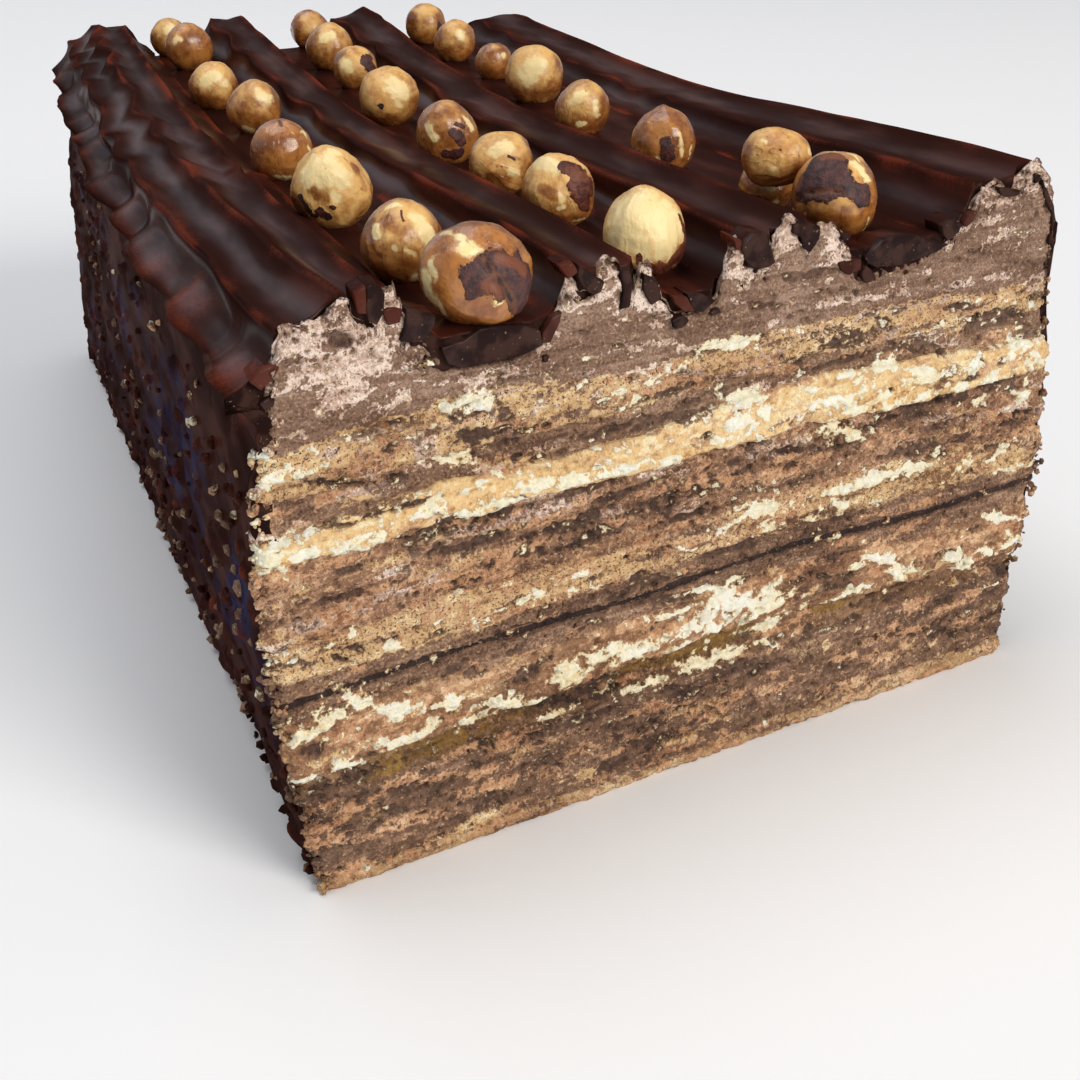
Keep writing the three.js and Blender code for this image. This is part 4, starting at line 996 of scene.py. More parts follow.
def kernel_finish(colour):
    """Peeled hazelnut under a thin caramel coat, with dark skin left in patches and bare pale spots, painted
    shade in its creases, and darker caramel low down and at the sides that is partly painted shade
    """
    finish = Finish("hazelnut", {"Specular IOR Level": 0.5, "Coat Roughness": 0.27, **TRANSLUCENT})
    tone = seen_colours(KERNEL_COLOURS)
    fine = finish.grain(0.4, 3)
    coarse = finish.grain(1.5, 4, rough=0.65)
    broad = finish.grain(4.5, 3)
    wander = (coarse - 0.5) * 0.5 + (fine - 0.5) * 0.12
    coat, vein, crease = (finish.field(name) for name in ("coat", "vein", "crease"))
    # The coat number also carries painted shade low down and at the sides
    glaze = (coat + (broad - 0.5) * 0.9).step(0.3, 0.8)
    flesh = (coarse * 0.5 + broad * 0.5).step(0.42, 0.62)
    flesh = finish.blend(tuple(colour) + (1,), tone["flesh_dark"], flesh)
    caramel = (broad * 0.6 + coarse * 0.4).step(0.4, 0.62)
    caramel = finish.blend(tone["caramel"], tone["caramel_dark"], caramel)
    body = finish.blend(flesh, caramel, glaze)
    body = finish.blend(body, tone["vein"], (vein + (coarse - 0.5) * 0.6).step(0.5, 0.95) * 0.7)
    pale = (finish.field("pale") + wander * 1.9).step(0.36, 0.74)
    bare = finish.blend(tone["bare"], tone["bare_dark"], (coarse * 0.6 + vein * 0.3).step(0.4, 0.72))
    body = finish.blend(body, bare, pale)
    skin = (finish.field("skin") + wander).step(0.47, 0.53)
    husk = finish.blend(tone["husk"], tone["husk_dark"], (coarse * 0.6 + fine * 0.4).step(0.4, 0.6))
    ruddy = (coarse * 0.7 + fine * 0.3).step(0.38, 0.6)
    ruddy = finish.blend(tone["husk_red"], tone["husk_red_dark"], ruddy)
    husk = finish.blend(husk, ruddy, finish.field("ruddy"))
    sugared = (finish.field("caramel") + wander).step(0.4, 0.7) * 0.7
    body = finish.blend(body, finish.blend(husk, tone["husk_caramel"], sugared), skin)
    # Painted shade in the creases: the fold colour round them and the crease colour in them
    body = finish.blend(body, tone["fold"], crease.step(0.15, 0.6) * 0.7)
    body = finish.blend(body, tone["crease"], (crease + wander * 0.5).step(0.55, 0.9))
    finish.put("Base Color", body)
    finish.put("Roughness", 0.42 - glaze * (1 - skin) * 0.18 + skin * 0.14)
    finish.put("Coat Weight", glaze * 0.5 * (1 - pale * 0.5) * (1 - skin * 0.9) + 0.04)
    wrinkle = finish.grain(0.9, 4, rough=0.65)
    finish.bump(skin * 0.35 + wrinkle * (0.3 + skin * 0.7) + vein * 0.25 + fine * 0.1, 0.34)
    return finish.material


class CakeShape(bpy.types.PropertyGroup):
    """Sizes that change the shapes"""

    face_cell: bpy.props.FloatProperty(
        name="Face cell", description="Width of a mesh cell on the cut face", default=0.33 * MM,
        unit="LENGTH", precision=5,
    )
    crumb: bpy.props.FloatProperty(
        name="Crumb relief", description="Multiplies the relief of the cut face", default=1.35, min=0, max=3,
    )
    flute: bpy.props.FloatProperty(
        name="Flute depth", description="Depth of the valleys between the crests of a rope, over its radius",
        default=FLUTE, min=0, max=0.3,
    )
    wall_knobs: bpy.props.FloatProperty(
        name="Wall knobs", description="Height of the lumps on the side walls", default=1.0 * MM,
        unit="LENGTH", precision=5,
    )
    seed: bpy.props.IntProperty(name="Seed", description="Starts the draws of loose crumbs", default=3)


class CakeColours(bpy.types.PropertyGroup):
    """Main colours, which the finishes vary"""

    ganache: bpy.props.FloatVectorProperty(
        name="Ganache", description="Ganache where thick", subtype="COLOR", default=srgb(46, 22, 17)[:3],
    )
    crest: bpy.props.FloatVectorProperty(
        name="Crests", description="Ganache where thin", subtype="COLOR", default=srgb(112, 48, 31)[:3],
    )
    kernel: bpy.props.FloatVectorProperty(
        name="Kernels", description="Peeled hazelnut", subtype="COLOR", default=srgb(236, 188, 114)[:3],
    )
    floor: bpy.props.FloatVectorProperty(
        name="Floor", description="The pale floor", subtype="COLOR", default=(0.94, 0.94, 0.94),
    )


class CakeLight(bpy.types.PropertyGroup):
    """Powers of the lights, and the brightness round the cake"""

    key: bpy.props.FloatProperty(
        name="Key", description="Power of the soft light on the cut", default=62, subtype="POWER",
    )
    back: bpy.props.FloatProperty(
        name="Back", description="Power of the soft light behind", default=1.0, subtype="POWER",
    )
    side: bpy.props.FloatProperty(
        name="Side", description="Power of the cool light from the left", default=1.2, subtype="POWER",
    )
    top: bpy.props.FloatProperty(
        name="Top", description="Power of the broad light from above", default=34, subtype="POWER",
    )
    room: bpy.props.FloatProperty(
        name="Room", description="Brightness of the plain surroundings", default=0.28,
    )


FINISHES = {}


def finish_of(slot):
    """The material of a slot, made once"""
    if slot not in FINISHES:
        colours = bpy.context.scene.cake_colours
        if slot == "ganache":
            FINISHES[slot] = ganache_finish(colours.ganache, colours.crest)
        elif slot == "hazelnut":
            FINISHES[slot] = kernel_finish(colours.kernel)
        else:
            soft = TRANSLUCENT if slot == "cream_yellow" else {}
            FINISHES[slot] = cut_finish(slot, soft, SPECKLES.get(slot, 0.8))
    return FINISHES[slot]


def torn_side(z, s, least, swing, seed):
    """How far torn crumb stands out past a side wall, which it does only close behind the cut"""
    return (least + swing * layered(z / 2.1, s * 40, seed=seed, octaves=4)) * np.exp(-s * 110)


class CAKE_OT_layers(bpy.types.Operator):
    """Twelve layers that run through the cake, each with its torn cut face"""

    bl_idname = "cake.layers"
    bl_label = "Layers"

    NEAR_STATIONS = (0.004, 0.012, 0.03, 0.09)  # rings close behind the cut, in shares of the length
    FEWEST_ROWS = 5  # of mesh cells up a thin layer
    SIDE_LAP = 0.4  # how far the layers reach into the ganache of the side walls
    MINGLE, SEAM_MINGLE = 0.8, 0.28  # how far neighbours' crumb mingles in, and less at the dark seam
    EDGE_CREASE, CORNER, CORNER_WIDTH = 0.35, 1.2, 0.9  # the face draws back at its edges and corners

    def execute(self, context):
        shape = context.scene.cake_shape
        cell = shape.face_cell / MM
        stations = self.NEAR_STATIONS + WALL_STATIONS[1:]
        for k, (node, slot, _, proud, rough, smear, _) in enumerate(LAYERS):
            tallest = max(b - a for a, b in zip(LAYERS[k - 1][2] if k else (0,) * 6, LAYERS[k][2]))
            rows = max(self.FEWEST_ROWS, round(tallest / cell))
            piece = Piece(node + "_crumb", cut_block(round(WIDTH / cell), rows, stations))
            u, s, w = piece.shares.T
            lower = layer_top(k, u, s) - (LAP if k else 0)
            upper = layer_top(k + 1, u, s) + LAP
            z = mix(lower, upper, w)
            left = left_wall(z, s) - self.SIDE_LAP - torn_side(z, s, 1.1, 1.3, seed=3)
            right = right_wall(z, s) + self.SIDE_LAP + torn_side(z, s, 0.8, 1.2, seed=8)
            x = mix(left, right, u)
            face = s == 0
            under = (GROUNDS[k - 1], z - lower) if k else None
            mingle = self.SEAM_MINGLE if slot == "chocolate_seam" else self.MINGLE
            fields = stuff_fields(x, z, node, under, (GROUNDS[k + 1], upper - z), mingle)
            relief = cut_relief(x, z, fields, rough * shape.crumb, smear, seed=10 + k)
            edge = 1 - bell(np.minimum(z - lower, upper - z) / self.EDGE_CREASE)
            out = proud * (0.35 + 0.65 * edge) + relief
            corner = self.CORNER * bell(np.minimum(x - left, right - x) / self.CORNER_WIDTH)
            x, z = rounded(x, z, s, LAYERS_BACK)
            y = mix(CUT_SKEW * x, LAYERS_BACK, s) - np.where(face, out - corner, 0)
            piece.place(np.stack([x, y, np.maximum(z, 0)], axis=1))
            # The relief number sets the painted shade in the face's pits
            piece.numbers({**fields, "relief": np.where(face, clip01(0.5 - 0.55 * relief), 0.5)})
            piece.done(slot, node)
        return {"FINISHED"}


class CAKE_OT_mousse(bpy.types.Operator):
    """The aerated top layer with its ropes, torn at the cut"""

    bl_idname = "cake.mousse"
    bl_label = "Mousse"

    TALLEST = 17
    NEAR_STATIONS = (0.3, 0.7, 1.2, 1.8, 2.5, 3.3, 4.3, 5.5, 8)  # rings close behind the cut, in millimetres
    TORN_DEPTH = (0.6, 2.6)  # between these depths behind the cut, the torn edge gives way to whole ropes
    CHANNELS = (0, 40, 60, 90, 110, 140)  # across, from where to where each channel's floor is level

    def execute(self, context):
        cell = context.scene.cake_shape.face_cell / MM
        stations = tuple(d / LAYERS_BACK for d in self.NEAR_STATIONS) + (0.06,) + WALL_STATIONS[1:]
        bm = cut_block(round(WIDTH / cell), round(self.TALLEST / cell), stations)
        piece = Piece("mousse_top_crumb", bm)
        u, s, w = piece.shares.T
        behind = s * LAYERS_BACK
        lower = layer_top(len(LAYERS), u, s) - LAP
        x = mix(left_wall(77, s) - 0.6, right_wall(77, s) + 0.3, u)
        top = np.zeros(len(x))
        for share in np.unique(s):
            ring = s == share
            heights = [rope_height(rope, x[ring], share) for rope in ROPES]
            floors = np.interp(x[ring], self.CHANNELS, np.repeat(FLOOR_Z, 2))
            top[ring] = np.maximum(np.max(heights, axis=0), floors)
        # Broken edge at the cut; behind it, the mousse stays well under the ganache that hides it
        across, up = zip(*MOUSSE_EDGE)
        torn_x = x + 0.9 * noise(x / 4, behind / 1.6, seed=22) + 0.25 * noise(x / 1.5, behind / 0.8, seed=23)
        torn = np.interp(torn_x, across, up) + 0.75 * layered(x / 1.3, behind / 0.9, seed=21)
        whole = step(*self.TORN_DEPTH, behind)
        torn = mix(torn, np.minimum(torn, top - 1.8), whole)
        top = mix(torn, top - 3.4 - 2 * step(7, 1, x), step(2.0, 6.0, behind))
        top = np.maximum(top, lower + 1)
        # The body below follows that edge evened out, and only the last of the rows its breaks
        even = np.arange(-10, 144, 0.25)
        padded = np.pad(np.interp(even, across, up), 5, mode="edge")
        even_up = np.convolve(padded, np.full(11, 1 / 11), mode="valid")
        smooth = np.maximum(mix(np.interp(x, even, even_up), top, whole), lower + 1)
        z = lower + (smooth - lower) * w + (top - smooth) * w**3
        wall_z = np.minimum(z, 77)
        left = left_wall(wall_z, s) - 0.5 - torn_side(z, s, 0.6, 1.2, seed=3)
        right = right_wall(wall_z, s) + 0.4 + torn_side(z, s, 0.6, 1.1, seed=8)
        inside = 2.4 * whole * step(73, 78, z)
        x = mix(left + inside, right - inside, u)
        face = s == 0
        fields = stuff_fields(x, z, "mousse_top", (GROUNDS[-2], z - lower))
        beneath = np.interp(x, even, even_up) - z
        rim = bell(beneath / 3.2) * step(82, 85, beneath + z)
        fields["blush"] = np.maximum(fields["blush"], 0.7 * rim + ragged(x, z))
        crumbly = step(5, 0.5, beneath)
        relief = cut_relief(x, z, fields, mix(0.34, 0.8, crumbly), 0.1, seed=40)
        relief = relief + crumbly * 0.4 * layered(x / 1.1, z / 1.1, seed=44, octaves=3)
        corner = 1.3 * bell((top - z) / 0.6) + 1.2 * bell(np.minimum(x - left, right - x) / 0.9)
        x, z = rounded(x, z, s, LAYERS_BACK)
        y = mix(CUT_SKEW * x, LAYERS_BACK, s) - np.where(face, 0.2 + relief - corner, 0)
        piece.place(np.stack([x, y, z], axis=1))
        # The relief number sets the painted shade in the face's pits
        piece.numbers({**fields, "relief": np.where(face, clip01(0.45 - 0.5 * relief), 0.45)})
        piece.done("mousse", "mousse_top")
        return {"FINISHED"}


def fold(p):
    """A row of rounded folds one apart, from 0 to 1"""
    return np.abs(np.cos(math.pi * p)) ** 1.3


# A column of the ganache: at a height on a wall, an angle on a rope or a share of the way over a pool; how
# far from the next crest, how deep in the valley between two, and how many degrees it is turned at the cut
Column = namedtuple("Column", "kind rope at apart valley turn")


class GlazeTop:
    """Columns of the ganache over the top, from the left wall over ropes and pools to the right wall"""

    SKIRT_LOW, SKIRT_HIGH = 58, 80.5  # how far down the side walls the top reaches
    SKIRT_COLUMNS, POOL_COLUMNS = (38, 34), 18
    ROPE_CELL = 0.62
    FIRST_VALLEY = 1.6  # the leftmost valley is deeper than the others by this factor
    ZIGZAG_LENGTH = 27
    POOL_BED = 78  # pools are lifted from here to their level later
    KNOBBY_FROM = (225, 272)  # along

    def __init__(self):
        left, right = self.SKIRT_COLUMNS
        skirt = np.linspace(self.SKIRT_LOW, self.SKIRT_HIGH, left)
        self.columns = [Column("left", 0, height, 0, 0, 0) for height in skirt]
        for k, rope in enumerate(ROPES):
            crests, front = rope["crests"], rope["front"]
            for i in range(len(crests) - 1):
                arc = math.radians(crests[i] - crests[i + 1]) * rope["reach"][0]
                deepest = self.FIRST_VALLEY if k == 0 and i == 0 else 1
                count = max(8, round(arc / self.ROPE_CELL))
                for t in (j / count for j in range(count)):
                    at, turn = mix(crests[i], crests[i + 1], t), mix(front[i], front[i + 1], t)
                    valley = math.sin(math.pi * t) ** 0.8 * deepest
                    self.columns.append(Column("rope", k, at, min(t, 1 - t) * arc, valley, turn))
            self.columns.append(Column("rope", k, crests[-1], 0, 0, front[-1]))
            if k < len(ROPES) - 1:
                for share in np.linspace(0.08, 0.92, self.POOL_COLUMNS):
                    self.columns.append(Column("pool", k, share, 9, 0, 0))
        for height in np.linspace(self.SKIRT_HIGH, self.SKIRT_LOW, right):
            self.columns.append(Column("right", len(ROPES) - 1, height, 0, 0, 0))

    def surface(self, s, y, flute):
        """Places across, heights and closeness to a crest, by rows at shares s of the length and columns"""
        points_x, points_z, crest = [], [], []
        sizes = [[through(rope[size], s) for size in ("across", "reach", "rise")] for rope in ROPES]

        def on_rope(k, degrees, valley, turn):
            """Crests zigzag along a rope, valleys between them are hollow, and the far end is knobby"""
            rope = ROPES[k]
            middle, reach, rise = sizes[k]
            drift = 0.9 * noise(y / 38, degrees / 120, seed=48 + k) + 0.0015 * degrees
            strength = 0.6 + 0.6 * noise(y / 33, degrees / 60, seed=49)
            wave = np.sin(2 * math.pi * (y / self.ZIGZAG_LENGTH + drift + 0.3 * k)) * strength
            wave = wave + 0.3 * noise(y / 19, degrees / 60, seed=50 + k)
            sway = rope["zigzag"] * mix(0.4, 1.0, step(60, 170, y)) * wave / reach
            sway = sway * math.sin(math.radians(degrees)) ** 0.5
            angle = np.radians(degrees + turn * np.exp(-y / 24)) + sway
            knobby = step(*self.KNOBBY_FROM, y)
            swollen = 0.022 * noise(y / 30, degrees / 60, seed=60 + k)
            swollen = swollen + 0.045 * noise(y / 8, degrees / 25, seed=70) * knobby
            hollow = flute * (1 + 0.15 * noise(y / 30, degrees / 20, seed=66)) * valley * (1 - 0.4 * knobby)
            share = 1 - hollow + swollen
            cos, sin = np.cos(angle), np.maximum(np.sin(angle), 0)
            lift = rise * (1 + rope["lean"] * cos) * sin
            return middle + (reach * share + GLAZE) * cos, rope["foot"] + (lift * share + GLAZE * sin)

        for kind, k, at, apart, valley, turn in self.columns:
            if kind == "left":
                x, z = left_wall(at, s) - GLAZE, at + 0 * s
            elif kind == "right":
                x, z = right_wall(at, s) + GLAZE, at + 0 * s
            elif kind == "rope":
                x, z = on_rope(k, at, valley, turn)
            else:
                start, _ = on_rope(k, ROPES[k]["crests"][-1], 0, 0)
                end, _ = on_rope(k + 1, ROPES[k + 1]["crests"][0], 0, 0)
                x, z = mix(start, end, at), self.POOL_BED + 0 * s
            points_x.append(x)
            points_z.append(z)
            patchy = 0.75 + 0.7 * noise(y / 9, at / 30, seed=88)
            tint = (0.45 * bell(apart / 0.5) + 0.5 * bell(apart / 2.2)) * patchy
            crest.append(tint if kind == "rope" else 0 * s)
        return (np.stack(a, axis=1) for a in (points_x, points_z, crest))


PERCHED_Z = 94  # a kernel above this height lies on others and doesn't touch the ganache
KERNEL_CONTACT = 0.29  # radius at which ganache meets a kernel, over the kernel's diameter
KERNEL_RISE, KERNEL_RISE_WIDTH = 0.9, 1.1  # how high it climbs there, and how far out


def channel_level(x, y, s):
    """Ganache level in the channels, with the rise of the ganache against each kernel"""
    middles = [through(rope["across"], s) for rope in ROPES]
    level = np.zeros(np.shape(x))
    for k in range(len(POOL_Z)):
        inside = (x >= middles[k]) & (x < middles[k + 1])
        pool = POOL_Z[k] + POOL_SWELL[k] * clip01(1 - s / POOL_FADE)
        level = np.where(inside, pool + 0.16 * layered(x / 8, y / 11, seed=80 + k, octaves=2), level)
    for across, along, height, diameter, *_ in KERNELS:
        if height < PERCHED_Z:
            past = np.maximum(np.hypot(x - across, y - along) - KERNEL_CONTACT * diameter, 0)
            level = level + np.where(level > 0, KERNEL_RISE * np.exp(-past / KERNEL_RISE_WIDTH), 0)
    return level


class CAKE_OT_glaze(bpy.types.Operator):
    """The ganache: top with its ropes and pools, side walls and far end"""

    bl_idname = "cake.glaze"
    bl_label = "Ganache"

    ROWS, BACK_ROWS = 268, 12  # of the top's mesh, along the cake and down its far end
    NEARNESS = 1.9  # how much closer together rows lie near the cut
    RINGS = (-0.08, -0.2, -0.35, -0.55, -0.8, -1, -2)  # down the section at the cut and to the underside
    UNDERSIDE = (4, 136), (34, 270), 77.5  # across, along, up
    RIGHT_FROM = 120  # beyond this place across, the right edge curls too
    LIP_Z, SKIRT_Z = 80, (60, 66)  # folds are strongest at the lip and have gone at the skirt
    FOLD_LENGTH, FOLD_SLANT, FOLD_OUT = 29, 17, 2.9  # apart along and up, and how far out
    PUFF_SIZE, PUFF_OUT = 13, 0.8
    LOBE_LENGTH, LOBE_HEIGHT, LOBE_OUT = 22, 4, 0.8
    END_ROUND, END_KNOB_SIZE, END_KNOB_OUT = 1.4, 6.5, 1.6
    WALL_ROWS, WALL_Z, WRAP = 300, (1.2, 67), 9  # a side wall goes on this far round the far corner
    WALL_KNOB_SIZE, WALL_BIT_SIZE = 7.5, 3.6
    END_MESH, END_Z, END_LUMP_SIZE = (190, 96), (1.2, 80), 5

    def top(self, shape):
        """Ropes, pools and curled edges as one sheet, with its section at the cut and its underside"""
        glaze = GlazeTop()
        count, rows, back_rows = len(glaze.columns), self.ROWS, self.BACK_ROWS
        piece = Piece("glaze_top", sheet_block(count - 1, rows + back_rows, self.RINGS))
        u, v, level = piece.shares.T
        column = np.rint(u * (count - 1)).astype(int)
        row = np.rint(v * (rows + back_rows)).astype(int)
        even = np.arange(rows + 1) / rows
        along = (np.exp(self.NEARNESS * even) - 1) / (math.exp(self.NEARNESS) - 1)
        s_rows = np.concatenate([along, np.ones(back_rows)])
        down_rows = np.concatenate([np.zeros(rows + 1), np.arange(1, back_rows + 1) / back_rows])
        x, z, crest = glaze.surface(s_rows, s_rows * LENGTH, shape.flute)
        x, z, crest = (a[row, column] for a in (x, z, crest))
        s, down = s_rows[row], down_rows[row]
        far = s * LENGTH
        kinds = np.array([each.kind for each in glaze.columns])[column]
        valleys = np.array([each.valley for each in glaze.columns])[column]
        skirt = (kinds == "left") | (kinds == "right")
        gloss = np.where(skirt, 0.18, 0.4)
        gloss = np.where(kinds == "rope", 0.15 + 1.1 * np.minimum(valleys, 1) ** 3, gloss)
        left_side = x < through(ROPES[0]["across"], s)
        x, z, crest = self.lip(x, z, crest, s, left_side)
        # Below, the coat dives under the wall pieces
        dive = 2.2 * step(62.5, glaze.SKIRT_LOW, z) * skirt
        x = x + np.where(left_side, dive, -dive * (x > self.RIGHT_FROM))
        # The far end is rounded and knobby, the front broken, and pools fill the channels
        knob, own = scattered(x, z * 1.2, self.END_KNOB_SIZE, 93)
        knobs = self.END_KNOB_OUT * dome(knob / 0.62) * (0.5 + own)
        x, z = rounded(x, z, s, LENGTH)
        recess = np.interp(x, *zip(*GLAZE_BROKEN)) + 0.45 * layered(x / 1.6, 0 * x, seed=95)
        y = mix(CUT_SKEW * x + np.maximum(recess, 0.1), LENGTH, s)
        pool = channel_level(x, y, s)
        z = np.where((z > 77) & (pool > 0), higher(z, pool, 0.9), z)
        y = y + np.sqrt(down) * self.END_ROUND + down * knobs - self.END_ROUND * (down > 0) * 0.3
        z = np.where(down > 0, mix(z, np.minimum(z, 72), down**1.3), z)
        x = np.where(down > 0, mix(x, WIDTH / 2, 0.02 * down), x)
        # Drips and brush marks, but not on the pools
        fine = 0.08 * layered(x / 4, far / 26, seed=97, octaves=2) * step(0.5, 2.5, np.abs(z - pool))
        z = z + np.where(skirt, 0, fine)
        # Section at the cut, and the closing underside
        front = (v == 0) & (level < 0)
        depth = clip01(-level)
        x = np.where(front & skirt, x + np.where(left_side, 2.6, -2.6) * depth, x)
        z = np.where(front, mix(z, np.minimum(z, 79.4), depth), z)
        y = np.where(front, y + 0.28 * layered(x / 1.1, z / 1.1, seed=98) * (depth > 0), y)
        inner = (level < 0) & ~front
        x = np.where(inner & (u == 0), x + 1.5 * depth, x)
        x = np.where(inner & (u == 1), x - 1.5 * depth, x)
        y = np.where(inner & (v == 1), y - 1.5 * depth, y)
        closing = level <= -1.5
        across, along, up = self.UNDERSIDE
        x = np.where(closing, np.clip(x, *across), x)
        y = np.where(closing, np.clip(y, *along), y)
        z = np.where(closing, up, z)
        piece.place(np.stack([x, y, z], axis=1))
        seen = level == 0
        cut = (front & (level > -1.5)).astype(float)
        piece.numbers({"crest": crest * seen, "gloss": gloss * seen, "cool": 0, "cut": cut})
        piece.done("ganache", "ganache_glaze")

    def lip(self, x, z, crest, s, left_side):
        """The bead along the left edge, the ridges that curl down from it, and fainter ones on the right"""
        far = s * LENGTH
        wander = 0.9 * noise(far / 40, z / 30, seed=90)
        curl = fold(far / self.FOLD_LENGTH + (84 - z) / self.FOLD_SLANT + wander)
        curl = curl * (0.85 + 0.3 * noise(far / 20, z / 30, seed=89))
        drop = 9 + 5 * noise(far / 14, 0 * far, seed=92)  # how far down each lobe hangs
        side = np.where(z > self.LIP_Z, bell((z - self.LIP_Z) / 4), bell((z - self.LIP_Z) / drop))
        fade_in = (step(-4, 14, far) * 0.75 + 0.25) * (1 - 0.6 * step(90, 220, far))
        bead = BEAD * bell((z - BEAD_Z) / BEAD_HEIGHT) * (0.75 + 0.25 * noise(far / 26, 0 * far, seed=91))
        wavy_z = z + 4 * noise(far / 15, 0 * far, seed=99)
        lobes = layered(far / self.LOBE_LENGTH, wavy_z / self.LOBE_HEIGHT, seed=94, octaves=2)
        lobes = self.LOBE_OUT * lobes * step(*self.SKIRT_Z, z) * step(86, 82, z)
        puff, own = scattered(far + 3 * noise(far / 12, z / 8, seed=86), z * 1.2, self.PUFF_SIZE, 87)
        puffs = self.PUFF_OUT * dome(puff / 0.72) * own * step(*self.SKIRT_Z, z) * bell((z - 77) / 5)
        left_out = bead + ((self.FOLD_OUT * curl - 1) * side + puffs) * fade_in + lobes
        right_out = ((1.3 * curl - 0.4) * side + 0.5 * puffs + 0.6 * lobes) * fade_in
        x = x - np.where(left_side, left_out, 0)
        x = x + np.where(~left_side & (x > self.RIGHT_FROM), right_out, 0)
        lift = 1.2 * (curl - 0.5) * bell((z - 83) / 4) * step(77, 80, z) * fade_in
        z = z + np.where(left_side, lift, 0)
        # Ganache looks redder where a fold is thin
        redness = 0.5 + 0.5 * layered(far / 9, z / 6, seed=96)
        reach = np.maximum(side, bell((z - 82) / 5)) * step(60, 68, z)
        thin = (0.7 * step(0.3, 0.95, curl) + 0.7 * step(0.1, 0.5, lobes) + 0.35) * (0.2 + redness) * reach
        crest = np.where(left_side | (x > 138), np.maximum(crest * (z > 84), thin), crest)
        return x, z, crest

    def wall(self, shape, name, side, columns, seed):
        """A side wall, wrapped a little round the far corner. side: -1 left, 1 right"""
        piece = Piece(name, slab_block(columns, self.WALL_ROWS))
        u, v, w = piece.shares.T
        outside = w > 0.5
        z = mix(*self.WALL_Z, u)
        path = v * (LENGTH + self.WRAP)
        s = np.minimum(path / LENGTH, 1)
        turn = clip01((path - LENGTH) / self.WRAP)
        wall = left_wall(z, s) if side < 0 else right_wall(z, s)
        front = CUT_SKEW * wall
        torn = (1 - s) ** 8 * (0.9 + 1.3 * layered(z / 3.1, 0 * z, seed=seed + 1))
        y = mix(front + 0.6 + torn, LENGTH, s)
        # Drag marks, large knobs and small bits, more of them low down and far back
        warp_y = y + 2.2 * noise(y / 6, z / 6, seed=seed + 8)
        warp_z = z + 1.6 * noise(y / 6, z / 6, seed=seed + 9)
        drag = layered(warp_y / 15, (z - 0.1 * y) / 8, seed=seed + 2, octaves=3)
        big, own = scattered(warp_y, warp_z, self.WALL_KNOB_SIZE, seed + 3)
        small, small_own = scattered(warp_y, warp_z, self.WALL_BIT_SIZE, seed + 4)
        least = mix(0.62, 0.8, clip01(z / 50)) - 0.1 * s
        knobs = np.where(own > least, own, 0) * dome(big / (0.14 + 0.14 * own))
        bits = np.where(small_own > least + 0.08, small_own, 0) * dome(small / 0.32)
        rough = (knobs + bits > 0.05) * 0.25 * layered(y / 1.1, z / 1.1, seed=seed + 7)
        lumps = shape.wall_knobs / MM * (1.1 * knobs + 0.6 * bits + rough)
        relief = 0.45 * drag + lumps + 0.7 * layered(y / 24, z / 16, seed=seed + 5, octaves=2)
        tuck = step(62.5, 67, z) * 2.4 + step(5, 1.2, z) * 0.3
        hem = 0.5 * layered(y / 5, 0 * y, seed=seed + 6) * step(8, 1.2, z)
        shy = 1.5 * step(2.5, 0, y - front - 0.8 - torn)  # the front edge lies behind the torn crumb
        x = wall + side * np.where(outside, GLAZE + relief - tuck - shy, 0.1)
        x, z = rounded(x, z, s, LENGTH)
        # Round the corner on to the far end
        bend = np.sin(turn * math.pi / 2)
        x = x - side * 6.5 * turn**1.6
        y = y + np.where(outside, 0.6 + 0.5 * relief, -1.2) * bend
        piece.place(np.stack([x, y, np.maximum(z + hem, 0.6)], axis=1))
        crest = clip01(0.5 * step(0.05, 0.4, knobs) + 0.4 * step(0.1, 0.6, bits))
        # Where the wall takes the painted navy-blue reflection, on the left side only
        cool = step(-0.15, 0.45, drag) * bell((z - 42) / 30) * step(-20, 20, z - 0.12 * (200 - y))
        cool = cool * (1 - 0.5 * step(60, 160, y)) * (side < 0)
        piece.numbers({"crest": crest, "cool": cool, "gloss": 0.22, "cut": 0})
        piece.done("ganache", "ganache_glaze")

    def far_end(self, shape):
        """The wall over the far end, between the two side walls"""
        piece = Piece("glaze_far_end", slab_block(*self.END_MESH))
        u, v, w = piece.shares.T
        outside = w > 0.5
        z = mix(*self.END_Z, v)
        x = mix(left_wall(z, 1) + 1.5, right_wall(z, 1) - 1.5, u)
        drag = layered((x + 0.4 * z) / 13, (z - 0.2 * x) / 2.6, seed=120, octaves=3)
        big, own = scattered(x, z, self.END_LUMP_SIZE, 121)
        knobs = np.where(own > 0.5, own, 0) * dome(big / 0.5)
        relief = 0.5 * drag + shape.wall_knobs / MM * 0.9 * knobs + 0.4 * layered(x / 12, z / 10, seed=122)
        tuck = step(74, 80, z) * 2.2
        y = LENGTH + np.where(outside, 0.4 + relief - tuck, -1.5)
        y = y - 1.2 * bell((np.minimum(u, 1 - u) * WIDTH) / 3)
        piece.place(np.stack([x, y, z], axis=1))
        crest = clip01(0.5 * (knobs > 0.3) + 0.4 * step(0.1, 0.7, drag)) * outside
        piece.numbers({"crest": crest, "gloss": 0.4, "cool": 0, "cut": 0})
        piece.done("ganache", "ganache_glaze")

    def execute(self, context):
        shape = context.scene.cake_shape
        self.top(shape)
        self.wall(shape, "glaze_left", -1, 100, 100)
        self.wall(shape, "glaze_right", 1, 90, 110)
        self.far_end(shape)
        return {"FINISHED"}


